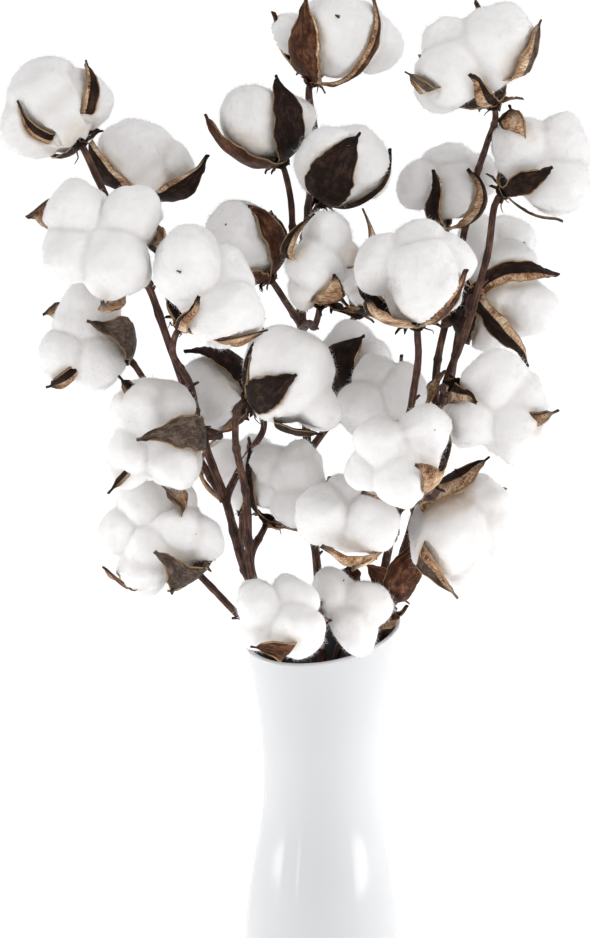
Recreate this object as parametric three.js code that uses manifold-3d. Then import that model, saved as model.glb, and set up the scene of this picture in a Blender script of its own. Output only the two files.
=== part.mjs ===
// Dried cotton stalks with open bolls, standing in a tall waisted vase. Millimetres, +Z up.
// The origin is the centre of the vase's underside. The bouquet is seen from its front along +Y.
import * as THREE from "three";
import { mergeVertices } from "three/addons/utils/BufferGeometryUtils.js";
import Module from "manifold-3d";

const wasm = await Module();
wasm.setup();

// ---------- Driving dimensions ----------

// The vase: a belly at the bottom, a waist above the middle and a wide, slanted mouth.
const VASE = {
  height: 240,
  footRadius: 43,
  bellyRadius: 47.8,
  bellyHeight: 40,
  waistRadius: 36.2,
  waistHeight: 145,
  mouthRadius: 47.5,
  wall: 3.4,
  floor: 10,
  facets: 32,
};
// The rim rises to the right and to the back, by these shares of the distance.
const RIM_SLANT = { from: 200, right: 0.15, back: 0.13 };

// The stalks taper from the foot to the last boll, and their twigs are thinner.
const STALK = { footRadius: 3, tipRadius: 1.9, sides: 6, step: 22 };
const TWIG = { footRadius: 2.3, tipRadius: 1.7, sides: 5, step: 16 };
const FOOT_CLEARANCE = 0.7;
const NECK = 8; // the straight end of a twig below its boll

// The cotton of a boll: a flattened ball with a groove between every two locks.
const COTTON = { flatness: 0.85, groove: 0.16, columnsPerLock: 3, rows: 6 };

// The dry bur that holds the cotton: one pointed valve over each groove, opening from the hub.
const BUR = {
  hubGap: 0.4,
  gap: 0.07,
  hubThickness: 4.6,
  edgeThickness: 1.2,
  tipReach: THREE.MathUtils.degToRad(112),
  notchReach: THREE.MathUtils.degToRad(34),
  point: 1.4,
  flare: 0.06,
  columnsPerValve: 3,
  rows: 3,
};

const COLOURS = { glaze: 0xf4f4f2, cotton: 0xf3f1ec, bark: 0x432a22 };

// ---------- The stalks and their bolls ----------

// Where a stalk stands on the vase's floor.
const foot = (x, y) => [x, y, VASE.floor + FOOT_CLEARANCE];

// A boll: the middle and radius of its cotton, the way it faces (heading from the front towards
// the right, lift above the level, turn about its own axis, all in degrees), its number of locks,
// and the route of its stem. A twig's route starts on a point of an earlier route of its stalk.
const STALKS = {
  stalk_left: {
    left_top: { at: [-155, 15, 555], size: 29, heading: -140, lift: 40, turn: 80,
      route: [foot(-14, 8), [-33, 14, 240], [-47, 8, 275], [-59, 5, 320], [-74, 0, 365],
        [-91, 0, 417], [-104, 3, 453], [-115, 0, 480], [-128, -6, 508]] },
    left_high: { at: [-105, 45, 520], size: 26, heading: 90, lift: 75, turn: 45,
      route: [[-104, 3, 453], [-110, 28, 470]] },
    left_front: { at: [-125, -50, 490], size: 33, heading: -10, lift: -5, turn: 40,
      route: [[-115, 0, 480]] },
    left_outer: { at: [-140, 20, 415], size: 29, heading: -50, lift: 25, turn: 40,
      route: [[-59, 5, 320], [-84, 18, 356], [-106, 32, 384]] },
    left_side: { at: [-95, -40, 370], size: 29, heading: -65, lift: 5, turn: 65,
      route: [[-74, 0, 365], [-62, -9, 364]] },
    left_inner: { at: [-65, -75, 465], size: 31, heading: 70, lift: 50, turn: 55,
      route: [[-74, 0, 365], [-79, -22, 398], [-87, -52, 424]] },
    left_behind: { at: [-65, 30, 380], size: 26, heading: -105, lift: 15, turn: 10,
      route: [[-59, 5, 320], [-46, 26, 342], [-36, 24, 360]] },
    left_back: { at: [-50, 70, 320], size: 24, heading: 90, lift: 90, turn: 70,
      route: [[-47, 8, 275], [-50, 40, 278], [-50, 64, 284]] },
  },
  stalk_low: {
    low_left: { at: [-95, -20, 305], size: 34, heading: -40, lift: 45, turn: 15,
      route: [foot(-10, -6), [-36, -14, 238], [-53, -14, 255], [-68, -8, 270]] },
  },
  stalk_inner: {
    inner_front: { at: [-20, -60, 410], size: 30, heading: 90, lift: 25, turn: 25,
      route: [foot(-6, 2), [-30, -1, 240], [-42, -3, 270], [-46, -18, 330], [-52, -44, 372]] },
    inner_low: { at: [-20, 5, 330], size: 29, heading: 90, lift: 60, turn: 0,
      route: [[-42, -3, 270], [-43, 3, 285]] },
  },
  stalk_middle: {
    middle_top: { at: [5, 35, 595], size: 32, heading: 90, lift: 65, turn: 15,
      route: [foot(0, 12), [-1, 14, 240], [-4, 29, 278], [-9, 38, 340], [-11, 38, 380],
        [-12, 38, 420], [-11, 38, 470], [-5, 38, 535]] },
    middle_high: { at: [-35, 20, 545], size: 27, heading: -90, lift: 65, turn: 15,
      route: [[-12, 38, 420], [-18, 28, 470], [-19, 21, 500]] },
    middle_right: { at: [10, -10, 525], size: 26, heading: 90, lift: 60, turn: 40,
      route: [[-11, 38, 470], [-11, 15, 482]] },
    middle_front: { at: [0, -40, 475], size: 27, heading: 90, lift: 85, turn: 70,
      route: [[-12, 38, 420], [-8, 10, 428], [-5, -25, 434]] },
    middle_left: { at: [-45, 5, 475], size: 25, heading: -90, lift: 55, turn: 25,
      route: [[-12, 38, 420], [-22, 18, 438]] },
    middle_low: { at: [20, 40, 395], size: 25, heading: 90, lift: 70, turn: 35,
      route: [[-9, 38, 340], [4, 38, 358]] },
    middle_back: { at: [30, 70, 440], size: 23, heading: 90, lift: 65, turn: 0,
      route: [[-11, 38, 380], [-2, 62, 400]] },
  },
  stalk_right: {
    right_outer: { at: [125, -10, 525], size: 28, heading: 90, lift: 35, turn: 25,
      route: [foot(14, 2), [37, -2, 240], [41, 0, 258], [50, 0, 293], [56, 0, 315], [61, 0, 334],
        [68, 2, 355], [72, -8, 392], [86, -24, 440], [95, -24, 475]] },
    right_top: { at: [85, -20, 590], size: 33, heading: -90, lift: 65, turn: 30, locks: 5,
      route: [[68, 2, 355], [67, 0, 400], [73, -2, 430], [83, -8, 484], [95, -18, 536]] },
    right_high: { at: [75, 40, 505], size: 28, heading: 90, lift: 80, turn: 20,
      route: [[73, -2, 430], [70, 22, 448]] },
    right_side: { at: [105, 10, 445], size: 33, heading: 145, lift: -10, turn: 25,
      route: [[86, -24, 440]] },
    right_back: { at: [105, 70, 460], size: 23, heading: 90, lift: 55, turn: 10,
      route: [[68, 2, 355], [78, 38, 388], [86, 64, 425]] },
    right_low: { at: [100, -65, 395], size: 31, heading: 55, lift: -5, turn: 30,
      route: [[72, -8, 392], [71, -26, 397]] },
    right_inner: { at: [35, -15, 390], size: 27, heading: -35, lift: 50, turn: 0,
      route: [[61, 0, 334], [55, 5, 350]] },
    right_rim: { at: [80, -30, 310], size: 33, heading: 55, lift: -20, turn: 30,
      route: [[56, 0, 315]] },
  },
  stalk_front: {
    front_top: { at: [50, -80, 475], size: 32, heading: -90, lift: 85, turn: 0,
      route: [foot(6, -4), [27, 6, 240], [35, -3, 272], [42, -20, 308], [46, -44, 345],
        [51, -58, 400], [54, -74, 428]] },
    front_middle: { at: [45, -95, 375], size: 28, heading: -70, lift: 45, turn: 45,
      route: [[46, -44, 345], [60, -62, 340]] },
    front_low: { at: [15, -55, 325], size: 29, heading: -70, lift: 30, turn: 10,
      route: [[42, -20, 308]] },
  },
  stalk_rim: {
    rim_left: { at: [-25, -62, 266], size: 27, heading: -35, lift: 15, turn: 20,
      route: [foot(0, -12), [0, -17, 200], [-3, -26, 238]] },
    rim_right: { at: [19, -30, 262], size: 26, heading: 10, lift: 30, turn: 40,
      route: [[0, -17, 200], [8, -8, 225]] },
  },
};
const USUAL_LOCKS = 4;

// ---------- Solids ----------

// A closed geometry as a solid that can be joined or cut.
function solidOf(geometry) {
  const bare = geometry.clone();
  bare.deleteAttribute("normal");
  bare.deleteAttribute("uv");
  const merged = mergeVertices(bare, 1e-4);
  return new wasm.Manifold(new wasm.Mesh({
    numProp: 3,
    vertProperties: new Float32Array(merged.attributes.position.array),
    triVerts: new Uint32Array(merged.index.array),
  }));
}

// A solid's surface as a geometry.
function geometryOf(solid) {
  const surface = solid.getMesh();
  const geometry = new THREE.BufferGeometry();
  geometry.setAttribute("position", new THREE.BufferAttribute(surface.vertProperties, 3));
  geometry.setIndex(new THREE.BufferAttribute(surface.triVerts, 1));
  geometry.computeVertexNormals();
  return geometry;
}

// Moves every vertex of a geometry to where place(its uv, its old place) says.
function reshape(geometry, place) {
  const { position, uv } = geometry.attributes;
  const was = new THREE.Vector3();
  for (let i = 0; i < position.count; i += 1) {
    was.fromBufferAttribute(position, i);
    const now = place(uv.getX(i), uv.getY(i), was);
    position.setXYZ(i, now.x, now.y, now.z);
  }
  geometry.computeVertexNormals();
  return geometry;
}

// A node of the object.
function piece(name, geometry, color, roughness) {
  const material = new THREE.MeshStandardMaterial({ color, roughness, metalness: 0, flatShading: true });
  const mesh = new THREE.Mesh(geometry, material);
  mesh.name = name;
  return mesh;
}

// ---------- The vase ----------

// The outer radius at a height, before the mouth is slanted.
function vaseRadius(z) {
  const { bellyRadius, bellyHeight, waistRadius, waistHeight, mouthRadius, footRadius } = VASE;
  if (z < bellyHeight) {
    const drop = (bellyHeight - z) / bellyHeight;
    return bellyRadius - (bellyRadius - footRadius) * drop ** 2.4;
  }
  if (z < waistHeight) {
    const climb = (z - bellyHeight) / (waistHeight - bellyHeight);
    return waistRadius + (bellyRadius - waistRadius) * (1 + Math.cos(Math.PI * climb)) / 2;
  }
  const rise = (z - waistHeight) / (VASE.height - waistHeight);
  return waistRadius + (mouthRadius - waistRadius) * rise ** 1.6;
}

// Heights from low to high, evenly spaced.
const heights = (low, high, count) =>
  Array.from({ length: count }, (_, i) => low + (high - low) * i / (count - 1));

// The wall's outline: up the outside, over the round rim and down the inside to the floor.
function vaseOutline() {
  const { height, wall, floor } = VASE;
  const lip = wall / 2;
  const outside = heights(2, height - lip, 13).map((z) => [vaseRadius(z), z]);
  const inside = heights(floor + 6, height - lip, 9).reverse().map((z) => [vaseRadius(z) - wall, z]);
  const bottomInside = vaseRadius(floor) - wall;
  return [
    [0, 0], [VASE.footRadius - 3, 0], ...outside,
    [VASE.mouthRadius - lip, height], ...inside,
    [bottomInside - 4, floor], [0, floor],
  ].map(([r, z]) => new THREE.Vector2(r, z));
}

function makeVase() {
  const geometry = new THREE.LatheGeometry(vaseOutline(), VASE.facets).rotateX(Math.PI / 2);
  reshape(geometry, (u, v, p) => {
    const share = THREE.MathUtils.smoothstep(p.z, RIM_SLANT.from, VASE.height);
    p.z += share * (RIM_SLANT.right * p.x + RIM_SLANT.back * p.y);
    return p;
  });
  return piece("vase", geometry, COLOURS.glaze, 0.12);
}

// ---------- The bolls ----------

// A boll's own frame: Z is the way it faces, and X is level.
function bollFrame({ at, heading, lift, turn }) {
  const [h, l] = [heading, lift].map(THREE.MathUtils.degToRad);
  const facing = new THREE.Vector3(
    Math.sin(h) * Math.cos(l), -Math.cos(h) * Math.cos(l), Math.sin(l));
  const level = new THREE.Vector3(Math.cos(h), Math.sin(h), 0);
  const upright = new THREE.Vector3().crossVectors(facing, level);
  return new THREE.Matrix4().makeBasis(level, upright, facing)
    .multiply(new THREE.Matrix4().makeRotationZ(THREE.MathUtils.degToRad(turn)))
    .setPosition(...at);
}

// A point at a distance from a boll's middle, at an angle from its facing and around it.
function bollPoint(distance, polar, around) {
  return new THREE.Vector3(
    distance * Math.sin(polar) * Math.cos(around),
    distance * Math.sin(polar) * Math.sin(around),
    distance * Math.cos(polar) * COTTON.flatness);
}

// How far the cotton reaches in a direction. A lock's middle is at around = 0.
function cottonReach({ size, locks = USUAL_LOCKS }, polar, around) {
  const fullness = Math.abs(Math.cos(locks * around / 2));
  return size * (1 - COTTON.groove * (1 - fullness) * Math.sin(polar));
}

// The cotton, whose columns of faces start on the groove between two locks.
function cottonGeometry(boll) {
  const { locks = USUAL_LOCKS } = boll;
  const ball = new THREE.SphereGeometry(1, COTTON.columnsPerLock * locks, COTTON.rows);
  return reshape(ball, (u, v) => {
    const polar = (1 - v) * Math.PI;
    const around = u * 2 * Math.PI + Math.PI / locks;
    return bollPoint(cottonReach(boll, polar, around), polar, around);
  });
}

function makeCotton(name, boll) {
  const cotton = piece(`cotton_${name}`, cottonGeometry(boll), COLOURS.cotton, 0.95);
  cotton.applyMatrix4(bollFrame(boll));
  return cotton;
}

// The bur: a ball pushed in to a cup, whose edge runs up to a point over each groove. Its inside
// rests on the cotton at the hub only, because flat faces further up would cut through the locks.
function burGeometry(boll) {
  const { locks = USUAL_LOCKS, size } = boll;
  const ball = new THREE.SphereGeometry(1, BUR.columnsPerValve * locks, 2 * BUR.rows);
  return reshape(ball, (u, v) => {
    const row = Math.round(v * 2 * BUR.rows);
    const inside = row > BUR.rows;
    const climb = 1 - Math.abs(row / BUR.rows - 1);
    const around = u * 2 * Math.PI + Math.PI / locks;
    const acrossValve = (u * locks) % 1;
    const fromMiddle = 2 * Math.min(acrossValve, 1 - acrossValve);
    const point = (1 - fromMiddle) ** BUR.point;
    const reach = THREE.MathUtils.lerp(BUR.notchReach, BUR.tipReach, point);
    const polar = Math.PI - Math.min(climb * BUR.tipReach, reach);
    const gap = climb === 0 ? BUR.hubGap : BUR.gap * size;
    const thickness = inside ? 0 : THREE.MathUtils.lerp(BUR.hubThickness, BUR.edgeThickness, climb);
    const flare = BUR.flare * size * point * climb ** 3;
    return bollPoint(cottonReach(boll, polar, around) + gap + thickness + flare, polar, around);
  });
}

const makeBur = (boll) => solidOf(burGeometry(boll).applyMatrix4(bollFrame(boll)));

// ---------- The stems ----------

// A tapered stem: a cylinder whose rings are carried along a curve.
function stemGeometry(points, { footRadius, tipRadius, sides, step }) {
  const curve = new THREE.CatmullRomCurve3(points, false, "centripetal");
  const steps = Math.ceil(curve.getLength() / step);
  const { normals, binormals } = curve.computeFrenetFrames(steps);
  const rod = new THREE.CylinderGeometry(1, 1, 1, sides, steps);
  return reshape(rod, (u, v, p) => {
    const share = p.y + 0.5;
    const ring = Math.round(share * steps);
    const radius = THREE.MathUtils.lerp(footRadius, tipRadius, share);
    return curve.getPointAt(share)
      .addScaledVector(normals[ring], radius * p.x)
      .addScaledVector(binormals[ring], -radius * p.z);
  });
}

// The points of a boll's stem: its route, a straight neck and its end inside the bur's hub.
function stemPoints(boll) {
  const frame = bollFrame(boll);
  const hub = boll.size + BUR.hubThickness / 2;
  const end = bollPoint(hub, Math.PI, 0).applyMatrix4(frame);
  const neck = bollPoint(hub + NECK, Math.PI, 0).applyMatrix4(frame);
  return [...boll.route.map((p) => new THREE.Vector3(...p)), neck, end];
}

// A stalk grew as one piece: its stem, its twigs and the burs at their ends.
function makeStalk(name, bolls) {
  const parts = Object.values(bolls).flatMap((boll, i) => {
    const stem = stemGeometry(stemPoints(boll), i === 0 ? STALK : TWIG);
    return [solidOf(stem), makeBur(boll)];
  });
  const whole = parts.reduce((joined, part) => joined.add(part));
  return piece(name, geometryOf(whole), COLOURS.bark, 0.8);
}

// ---------- The whole bouquet ----------

const group = new THREE.Group();
group.add(makeVase());
for (const [stalk, bolls] of Object.entries(STALKS)) {
  group.add(makeStalk(stalk, bolls));
  for (const [name, boll] of Object.entries(bolls)) group.add(makeCotton(name, boll));
}

export default group;
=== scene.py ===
"""Dried cotton stalks with open bolls, standing in a white glazed vase.

Every length is in metres. The object stands on the floor at the origin, with +Z up, and its front faces -Y.
"""

import logging
import math
import random
from collections.abc import Sequence
from dataclasses import dataclass, field
from enum import Enum

import bmesh
import bpy
import numpy as np
from mathutils import Matrix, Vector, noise


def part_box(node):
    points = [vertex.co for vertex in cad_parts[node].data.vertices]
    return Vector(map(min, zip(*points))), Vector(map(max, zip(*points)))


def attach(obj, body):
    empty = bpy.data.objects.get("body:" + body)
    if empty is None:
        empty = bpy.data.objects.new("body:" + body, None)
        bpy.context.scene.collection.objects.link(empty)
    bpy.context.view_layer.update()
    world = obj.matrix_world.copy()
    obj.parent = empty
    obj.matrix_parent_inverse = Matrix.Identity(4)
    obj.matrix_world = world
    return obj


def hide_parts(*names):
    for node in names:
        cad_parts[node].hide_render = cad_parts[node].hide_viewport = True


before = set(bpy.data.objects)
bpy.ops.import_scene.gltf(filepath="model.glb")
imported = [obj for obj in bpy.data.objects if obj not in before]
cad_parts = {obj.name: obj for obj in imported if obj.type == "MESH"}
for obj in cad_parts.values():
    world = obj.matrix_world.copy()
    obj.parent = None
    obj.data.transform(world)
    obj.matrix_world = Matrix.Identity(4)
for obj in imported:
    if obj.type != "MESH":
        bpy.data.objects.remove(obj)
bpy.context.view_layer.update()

LOG = logging.getLogger("cotton_stem_bunch")
MM = 0.001
FULL_TURN = 2 * math.pi
Colour = tuple[float, float, float]
Point = tuple[float, float, float]


# ---------- Small tools for numbers ----------


def smoothstep(low: float, high: float, x: np.ndarray) -> np.ndarray:
    """Returns 0 below low, 1 above high and a smooth climb between."""
    share = np.clip((x - low) / (high - low), 0.0, 1.0)
    return share * share * (3 - 2 * share)


def unit(vectors: np.ndarray) -> np.ndarray:
    """Returns the vectors, each at length one."""
    return vectors / np.maximum(np.linalg.norm(vectors, axis=-1, keepdims=True), 1e-12)


def from_below(climb: float, around: float) -> np.ndarray:
    """Returns the unit vector at the angle climb from straight down, turned round Z by around."""
    out = math.sin(climb)
    return np.array([out * math.cos(around), out * math.sin(around), -math.cos(climb)])


def relief(points: np.ndarray, scale: float, seed: float = 0.0) -> np.ndarray:
    """Returns smooth noise, from about -1 to 1.

    Args:
        points: Where to read it, one row a point.
        scale: The size of its bumps.
        seed: Moves to another part of the noise.

    Returns:
        One value a point.
    """
    shift = np.array([seed, 0.37 * seed, -0.61 * seed])
    return np.array([noise.noise(p) for p in (points / scale + shift).tolist()])


# ---------- Small tools for meshes ----------


def deselect() -> None:
    """Leaves edit mode and deselects every object."""
    if bpy.context.object and bpy.context.object.mode != "OBJECT":
        bpy.ops.object.mode_set(mode="OBJECT")
    bpy.ops.object.select_all(action="DESELECT")


def pick(piece: bpy.types.Object) -> None:
    """Makes one object the only selected and active one.

    Args:
        piece: The object.
    """
    deselect()
    piece.select_set(True)
    bpy.context.view_layer.objects.active = piece


def read(piece: bpy.types.Object, key: str) -> np.ndarray:
    """Reads one vector of every vertex of a mesh.

    Args:
        piece: The mesh object.
        key: The name of the vector.

    Returns:
        One row a vertex.
    """
    flat = np.empty(len(piece.data.vertices) * 3)
    piece.data.vertices.foreach_get(key, flat)
    return flat.reshape(-1, 3)


def corners(piece: bpy.types.Object) -> np.ndarray:
    """Returns the places of a mesh's vertices, one row each."""
    return read(piece, "co")


def normals(piece: bpy.types.Object) -> np.ndarray:
    """Returns the normals of a mesh's vertices, one row each."""
    return read(piece, "normal")


def place(piece: bpy.types.Object, points: np.ndarray) -> None:
    """Moves a mesh's vertices to these points."""
    piece.data.vertices.foreach_set("co", np.ascontiguousarray(points, np.float32).ravel())
    piece.data.update()


def paint(piece: bpy.types.Object, name: str, values: np.ndarray) -> None:
    """Writes a number or a vector on each vertex, for a material to read.

    Args:
        piece: The mesh object.
        name: The attribute's name.
        values: One number or one row of three numbers a vertex.
    """
    kind, key = ("FLOAT", "value") if values.ndim == 1 else ("FLOAT_VECTOR", "vector")
    layer = piece.data.attributes.get(name) or piece.data.attributes.new(name, kind, "POINT")
    layer.data.foreach_set(key, np.ascontiguousarray(values, np.float32).ravel())


def modify(piece: bpy.types.Object, kind: str, **settings: object) -> None:
    """Adds a modifier and applies it.

    Args:
        piece: The mesh object.
        kind: The modifier's type.
        settings: The modifier's settings, by name.
    """
    pick(piece)
    modifier = piece.modifiers.new(kind.title(), kind)
    for key, value in settings.items():
        setattr(modifier, key, value)
    bpy.ops.object.modifier_apply(modifier=modifier.name)


def joined(name: str, parts: Sequence[bpy.types.Object]) -> bpy.types.Object:
    """Joins objects to one.

    Args:
        name: The name of the whole.
        parts: The objects; the first one takes in the rest.

    Returns:
        The whole.
    """
    pick(parts[0])
    for part in parts[1:]:
        part.select_set(True)
    if len(parts) > 1:
        bpy.ops.object.join()
    parts[0].name = name
    parts[0].data.name = name
    return parts[0]


def copied(piece: bpy.types.Object) -> bpy.types.Object:
    """Copies an object, with its mesh.

    Args:
        piece: The object.

    Returns:
        The copy, with a mesh of its own.
    """
    twin = piece.copy()
    twin.data = piece.data.copy()
    bpy.context.scene.collection.objects.link(twin)
    return twin


def from_points(name: str, points: np.ndarray, edges: list[tuple[int, int]],
                faces: list[tuple[int, ...]]) -> bpy.types.Object:
    """Makes a new mesh object.

    Args:
        name: The object's name.
        points: The vertices, one row each.
        edges: The edges that no face has.
        faces: The faces.

    Returns:
        The object.
    """
    mesh = bpy.data.meshes.new(name)
    mesh.from_pydata(points.tolist(), edges, faces)
    made = bpy.data.objects.new(name, mesh)
    bpy.context.scene.collection.objects.link(made)
    return made


def dress(piece: bpy.types.Object, materials: Sequence[bpy.types.Material]) -> None:
    """Gives a piece its materials and smooth shading.

    Args:
        piece: The mesh object.
        materials: Its materials, in order.
    """
    piece.data.materials.clear()
    for material in materials:
        piece.data.materials.append(material)
    pick(piece)
    bpy.ops.object.shade_smooth()


def fit(piece: bpy.types.Object, slot: str, *nodes: str) -> None:
    """Ties a finished piece to the frame.

    Args:
        piece: The finished mesh object.
        slot: The record's material slot. Not used.
        nodes: The CAD nodes that the piece stands for.
    """
    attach(piece, "root")
    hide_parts(*nodes)
    LOG.info("%s: %d faces", piece.name, len(piece.data.polygons))


# ---------- Materials ----------


class Value:
    """A shader socket with the signs of arithmetic, which add Math nodes."""

    def __init__(self, tree: bpy.types.NodeTree, socket: bpy.types.NodeSocket) -> None:
        """Keeps the tree and the socket."""
        self.tree = tree
        self.socket = socket

    def math(self, operation: str, *terms: "Value | float", clamp: bool = False) -> "Value":
        """Adds a Math node.

        Args:
            operation: The node's operation.
            terms: Its inputs, in order.
            clamp: Whether the result stays from 0 to 1.

        Returns:
            The node's result.
        """
        node = self.tree.nodes.new("ShaderNodeMath")
        node.operation = operation
        node.use_clamp = clamp
        for socket, term in zip(node.inputs, terms):
            if isinstance(term, Value):
                self.tree.links.new(term.socket, socket)
            else:
                socket.default_value = term
        return Value(self.tree, node.outputs[0])

    def __add__(self, other: "Value | float") -> "Value":
        """Returns self + other."""
        return self.math("ADD", self, other)

    def __radd__(self, other: float) -> "Value":
        """Returns other + self."""
        return self.math("ADD", other, self)

    def __sub__(self, other: "Value | float") -> "Value":
        """Returns self - other."""
        return self.math("SUBTRACT", self, other)

    def __rsub__(self, other: float) -> "Value":
        """Returns other - self."""
        return self.math("SUBTRACT", other, self)

    def __mul__(self, other: "Value | float") -> "Value":
        """Returns self * other."""
        return self.math("MULTIPLY", self, other)

    def __rmul__(self, other: float) -> "Value":
        """Returns other * self."""
        return self.math("MULTIPLY", other, self)

    def __abs__(self) -> "Value":
        """Returns the value without its sign."""
        return self.math("ABSOLUTE", self)

    def climb(self, low: float, high: float) -> "Value":
        """Returns 0 at low, 1 at high, and a straight climb between."""
        return self.math("MULTIPLY", self - low, 1 / (high - low), clamp=True)


Feed = Value | float | Sequence[float]


class Paint:
    """A material under construction, whose nodes all come from one method."""

    def __init__(self, name: str) -> None:
        """Starts an empty material.

        Args:
            name: The material's name.
        """
        self.material = bpy.data.materials.new(name)
        self.material.use_nodes = True
        self.tree = self.material.node_tree
        self.tree.nodes.clear()

    def node(
        self,
        kind: str,
        settings: dict[str, object] | None = None,
        feeds: dict[str | int, Feed] | None = None,
    ) -> bpy.types.Node:
        """Adds a node.

        Args:
            kind: The node's type.
            settings: Its settings, set first; "stops" holds a ramp's (place, colour) pairs.
            feeds: The value or link of each named or numbered input.

        Returns:
            The node.
        """
        made = self.tree.nodes.new(kind)
        for key, value in (settings or {}).items():
            if key == "stops":
                self._set_stops(made.color_ramp, value)
            else:
                setattr(made, key, value)
        for key, feed in (feeds or {}).items():
            if isinstance(feed, Value):
                self.tree.links.new(feed.socket, made.inputs[key])
            else:
                made.inputs[key].default_value = feed
        return made

    @staticmethod
    def _set_stops(ramp: bpy.types.ColorRamp, stops: Sequence[tuple[float, Colour]]) -> None:
        """Puts stops on a ramp.

        Args:
            ramp: The ramp.
            stops: The (place, colour) pairs, from left to right.
        """
        while len(ramp.elements) < len(stops):
            ramp.elements.new(1.0)
        for element, (where, colour) in zip(ramp.elements, stops):
            element.position = where
            element.color = (*colour, 1.0)

    def value(self, node: bpy.types.Node, output: str | int = 0) -> Value:
        """Returns a node's output for arithmetic."""
        return Value(self.tree, node.outputs[output])

    def places(self) -> Value:
        """Returns the Object coordinates."""
        return self.value(self.node("ShaderNodeTexCoord"), "Object")

    def painted(self, name: str, output: str = "Fac") -> Value:
        """Returns what is painted on the piece under this name."""
        return self.value(self.node("ShaderNodeAttribute", {"attribute_name": name}), output)

    def stretched(self, vector: Value, scale: Point) -> Value:
        """Returns a vector, scaled along each axis."""
        node = self.node("ShaderNodeMapping", feeds={"Vector": vector, "Scale": scale})
        return self.value(node)

    def clouds(self, vector: Value, scale: float, detail: float = 3.0, rough: float = 0.55) -> Value:
        """Returns soft noise from 0 to 1, with this many bumps a metre."""
        feeds = {"Vector": vector, "Scale": scale, "Detail": detail, "Roughness": rough}
        return self.value(self.node("ShaderNodeTexNoise", feeds=feeds), 0)

    def ramp(self, factor: Value, *stops: tuple[float, Colour]) -> Value:
        """Returns the colour of a ramp at factor."""
        return self.value(self.node("ShaderNodeValToRGB", {"stops": stops}, {"Fac": factor}))

    def mixed(self, factor: Value, a: "Value | Colour", b: "Value | Colour") -> Value:
        """Mixes two colours.

        Args:
            factor: The share of the second colour.
            a: The first colour.
            b: The second colour.

        Returns:
            The mixed colour.
        """
        feeds = {0: factor}
        for index, colour in ((6, a), (7, b)):
            feeds[index] = colour if isinstance(colour, Value) else (*colour, 1.0)
        return self.value(self.node("ShaderNodeMix", {"data_type": "RGBA"}, feeds), 2)

    def bumped(self, height: Value, distance: float, strength: float = 1.0) -> Value:
        """Returns the normal of a surface with this relief."""
        feeds = {"Height": height, "Distance": distance, "Strength": strength}
        return self.value(self.node("ShaderNodeBump", feeds=feeds))

    def surface(self, feeds: dict[str | int, Feed]) -> bpy.types.Material:
        """Ends the material with a Principled shader.

        Args:
            feeds: The value or link of each of the shader's inputs.

        Returns:
            The material.
        """
        shader = self.node("ShaderNodeBsdfPrincipled", feeds=feeds)
        self.node("ShaderNodeOutputMaterial", feeds={"Surface": self.value(shader)})
        return self.material


@dataclass(frozen=True)
class LintFinish:
    """Cotton fibre: white and soft, cream by the hub and valves as the bur's stain plus painted shade.

    The patches, mottle, blotches, tufts and fibres are counts of bumps a metre.
    """

    white: Colour = (0.93, 0.915, 0.91)
    shade: Colour = (0.87, 0.85, 0.845)
    # Painted shade: the darker grey that the creases between the locks are mixed towards.
    painted_crease_shade: Colour = (0.76, 0.73, 0.71)
    # Cream for the bur's stain together with painted shade, by the hub and the valves.
    stain: Colour = (0.66, 0.54, 0.38)
    patches: float = 45.0
    mottle: float = 190.0
    blotches: float = 160.0
    tufts: float = 330.0
    fibres: float = 1400.0
    relief: float = 0.0007
    light_depth: float = 0.005

    def make(self) -> bpy.types.Material:
        """Builds the material.

        Returns:
            The material.
        """
        look = Paint("lint")
        spot = look.places()
        broad = look.clouds(spot, self.patches, 2.0)
        cloudy = broad * 0.5 + look.clouds(spot, self.mottle, 4.0, 0.7) * 0.5
        soft = look.mixed(cloudy.climb(0.38, 0.66), self.white, self.shade)
        blotch = look.clouds(spot, self.blotches, 3.0).climb(0.25, 0.7)
        # Painted shade: the colour is mixed towards a darker grey in the creases between the locks.
        crease_shaded = look.mixed(look.painted("crease") * 0.5, soft, self.painted_crease_shade)
        # Cream by the hub and the valves: partly the bur's stain, partly painted shade.
        colour = look.mixed(look.painted("stain") * (blotch * 0.5 + 0.1), crease_shaded, self.stain)
        tufts = look.clouds(spot, self.tufts, 4.0, 0.65)
        fibres = look.clouds(look.stretched(spot, (1.0, 1.0, 0.35)), self.fibres, 3.0, 0.7)
        height = tufts + fibres * 0.35
        return look.surface({
            "Base Color": colour,
            "Roughness": 0.95,
            "Specular IOR Level": 0.1,
            "Sheen Weight": 0.25,
            "Sheen Roughness": 0.6,
            "Subsurface Weight": 0.6,
            "Subsurface Radius": (1.0, 0.97, 0.95),
            "Subsurface Scale": self.light_depth,
            "Normal": look.bumped(height, self.relief, 0.6),
        })


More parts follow.
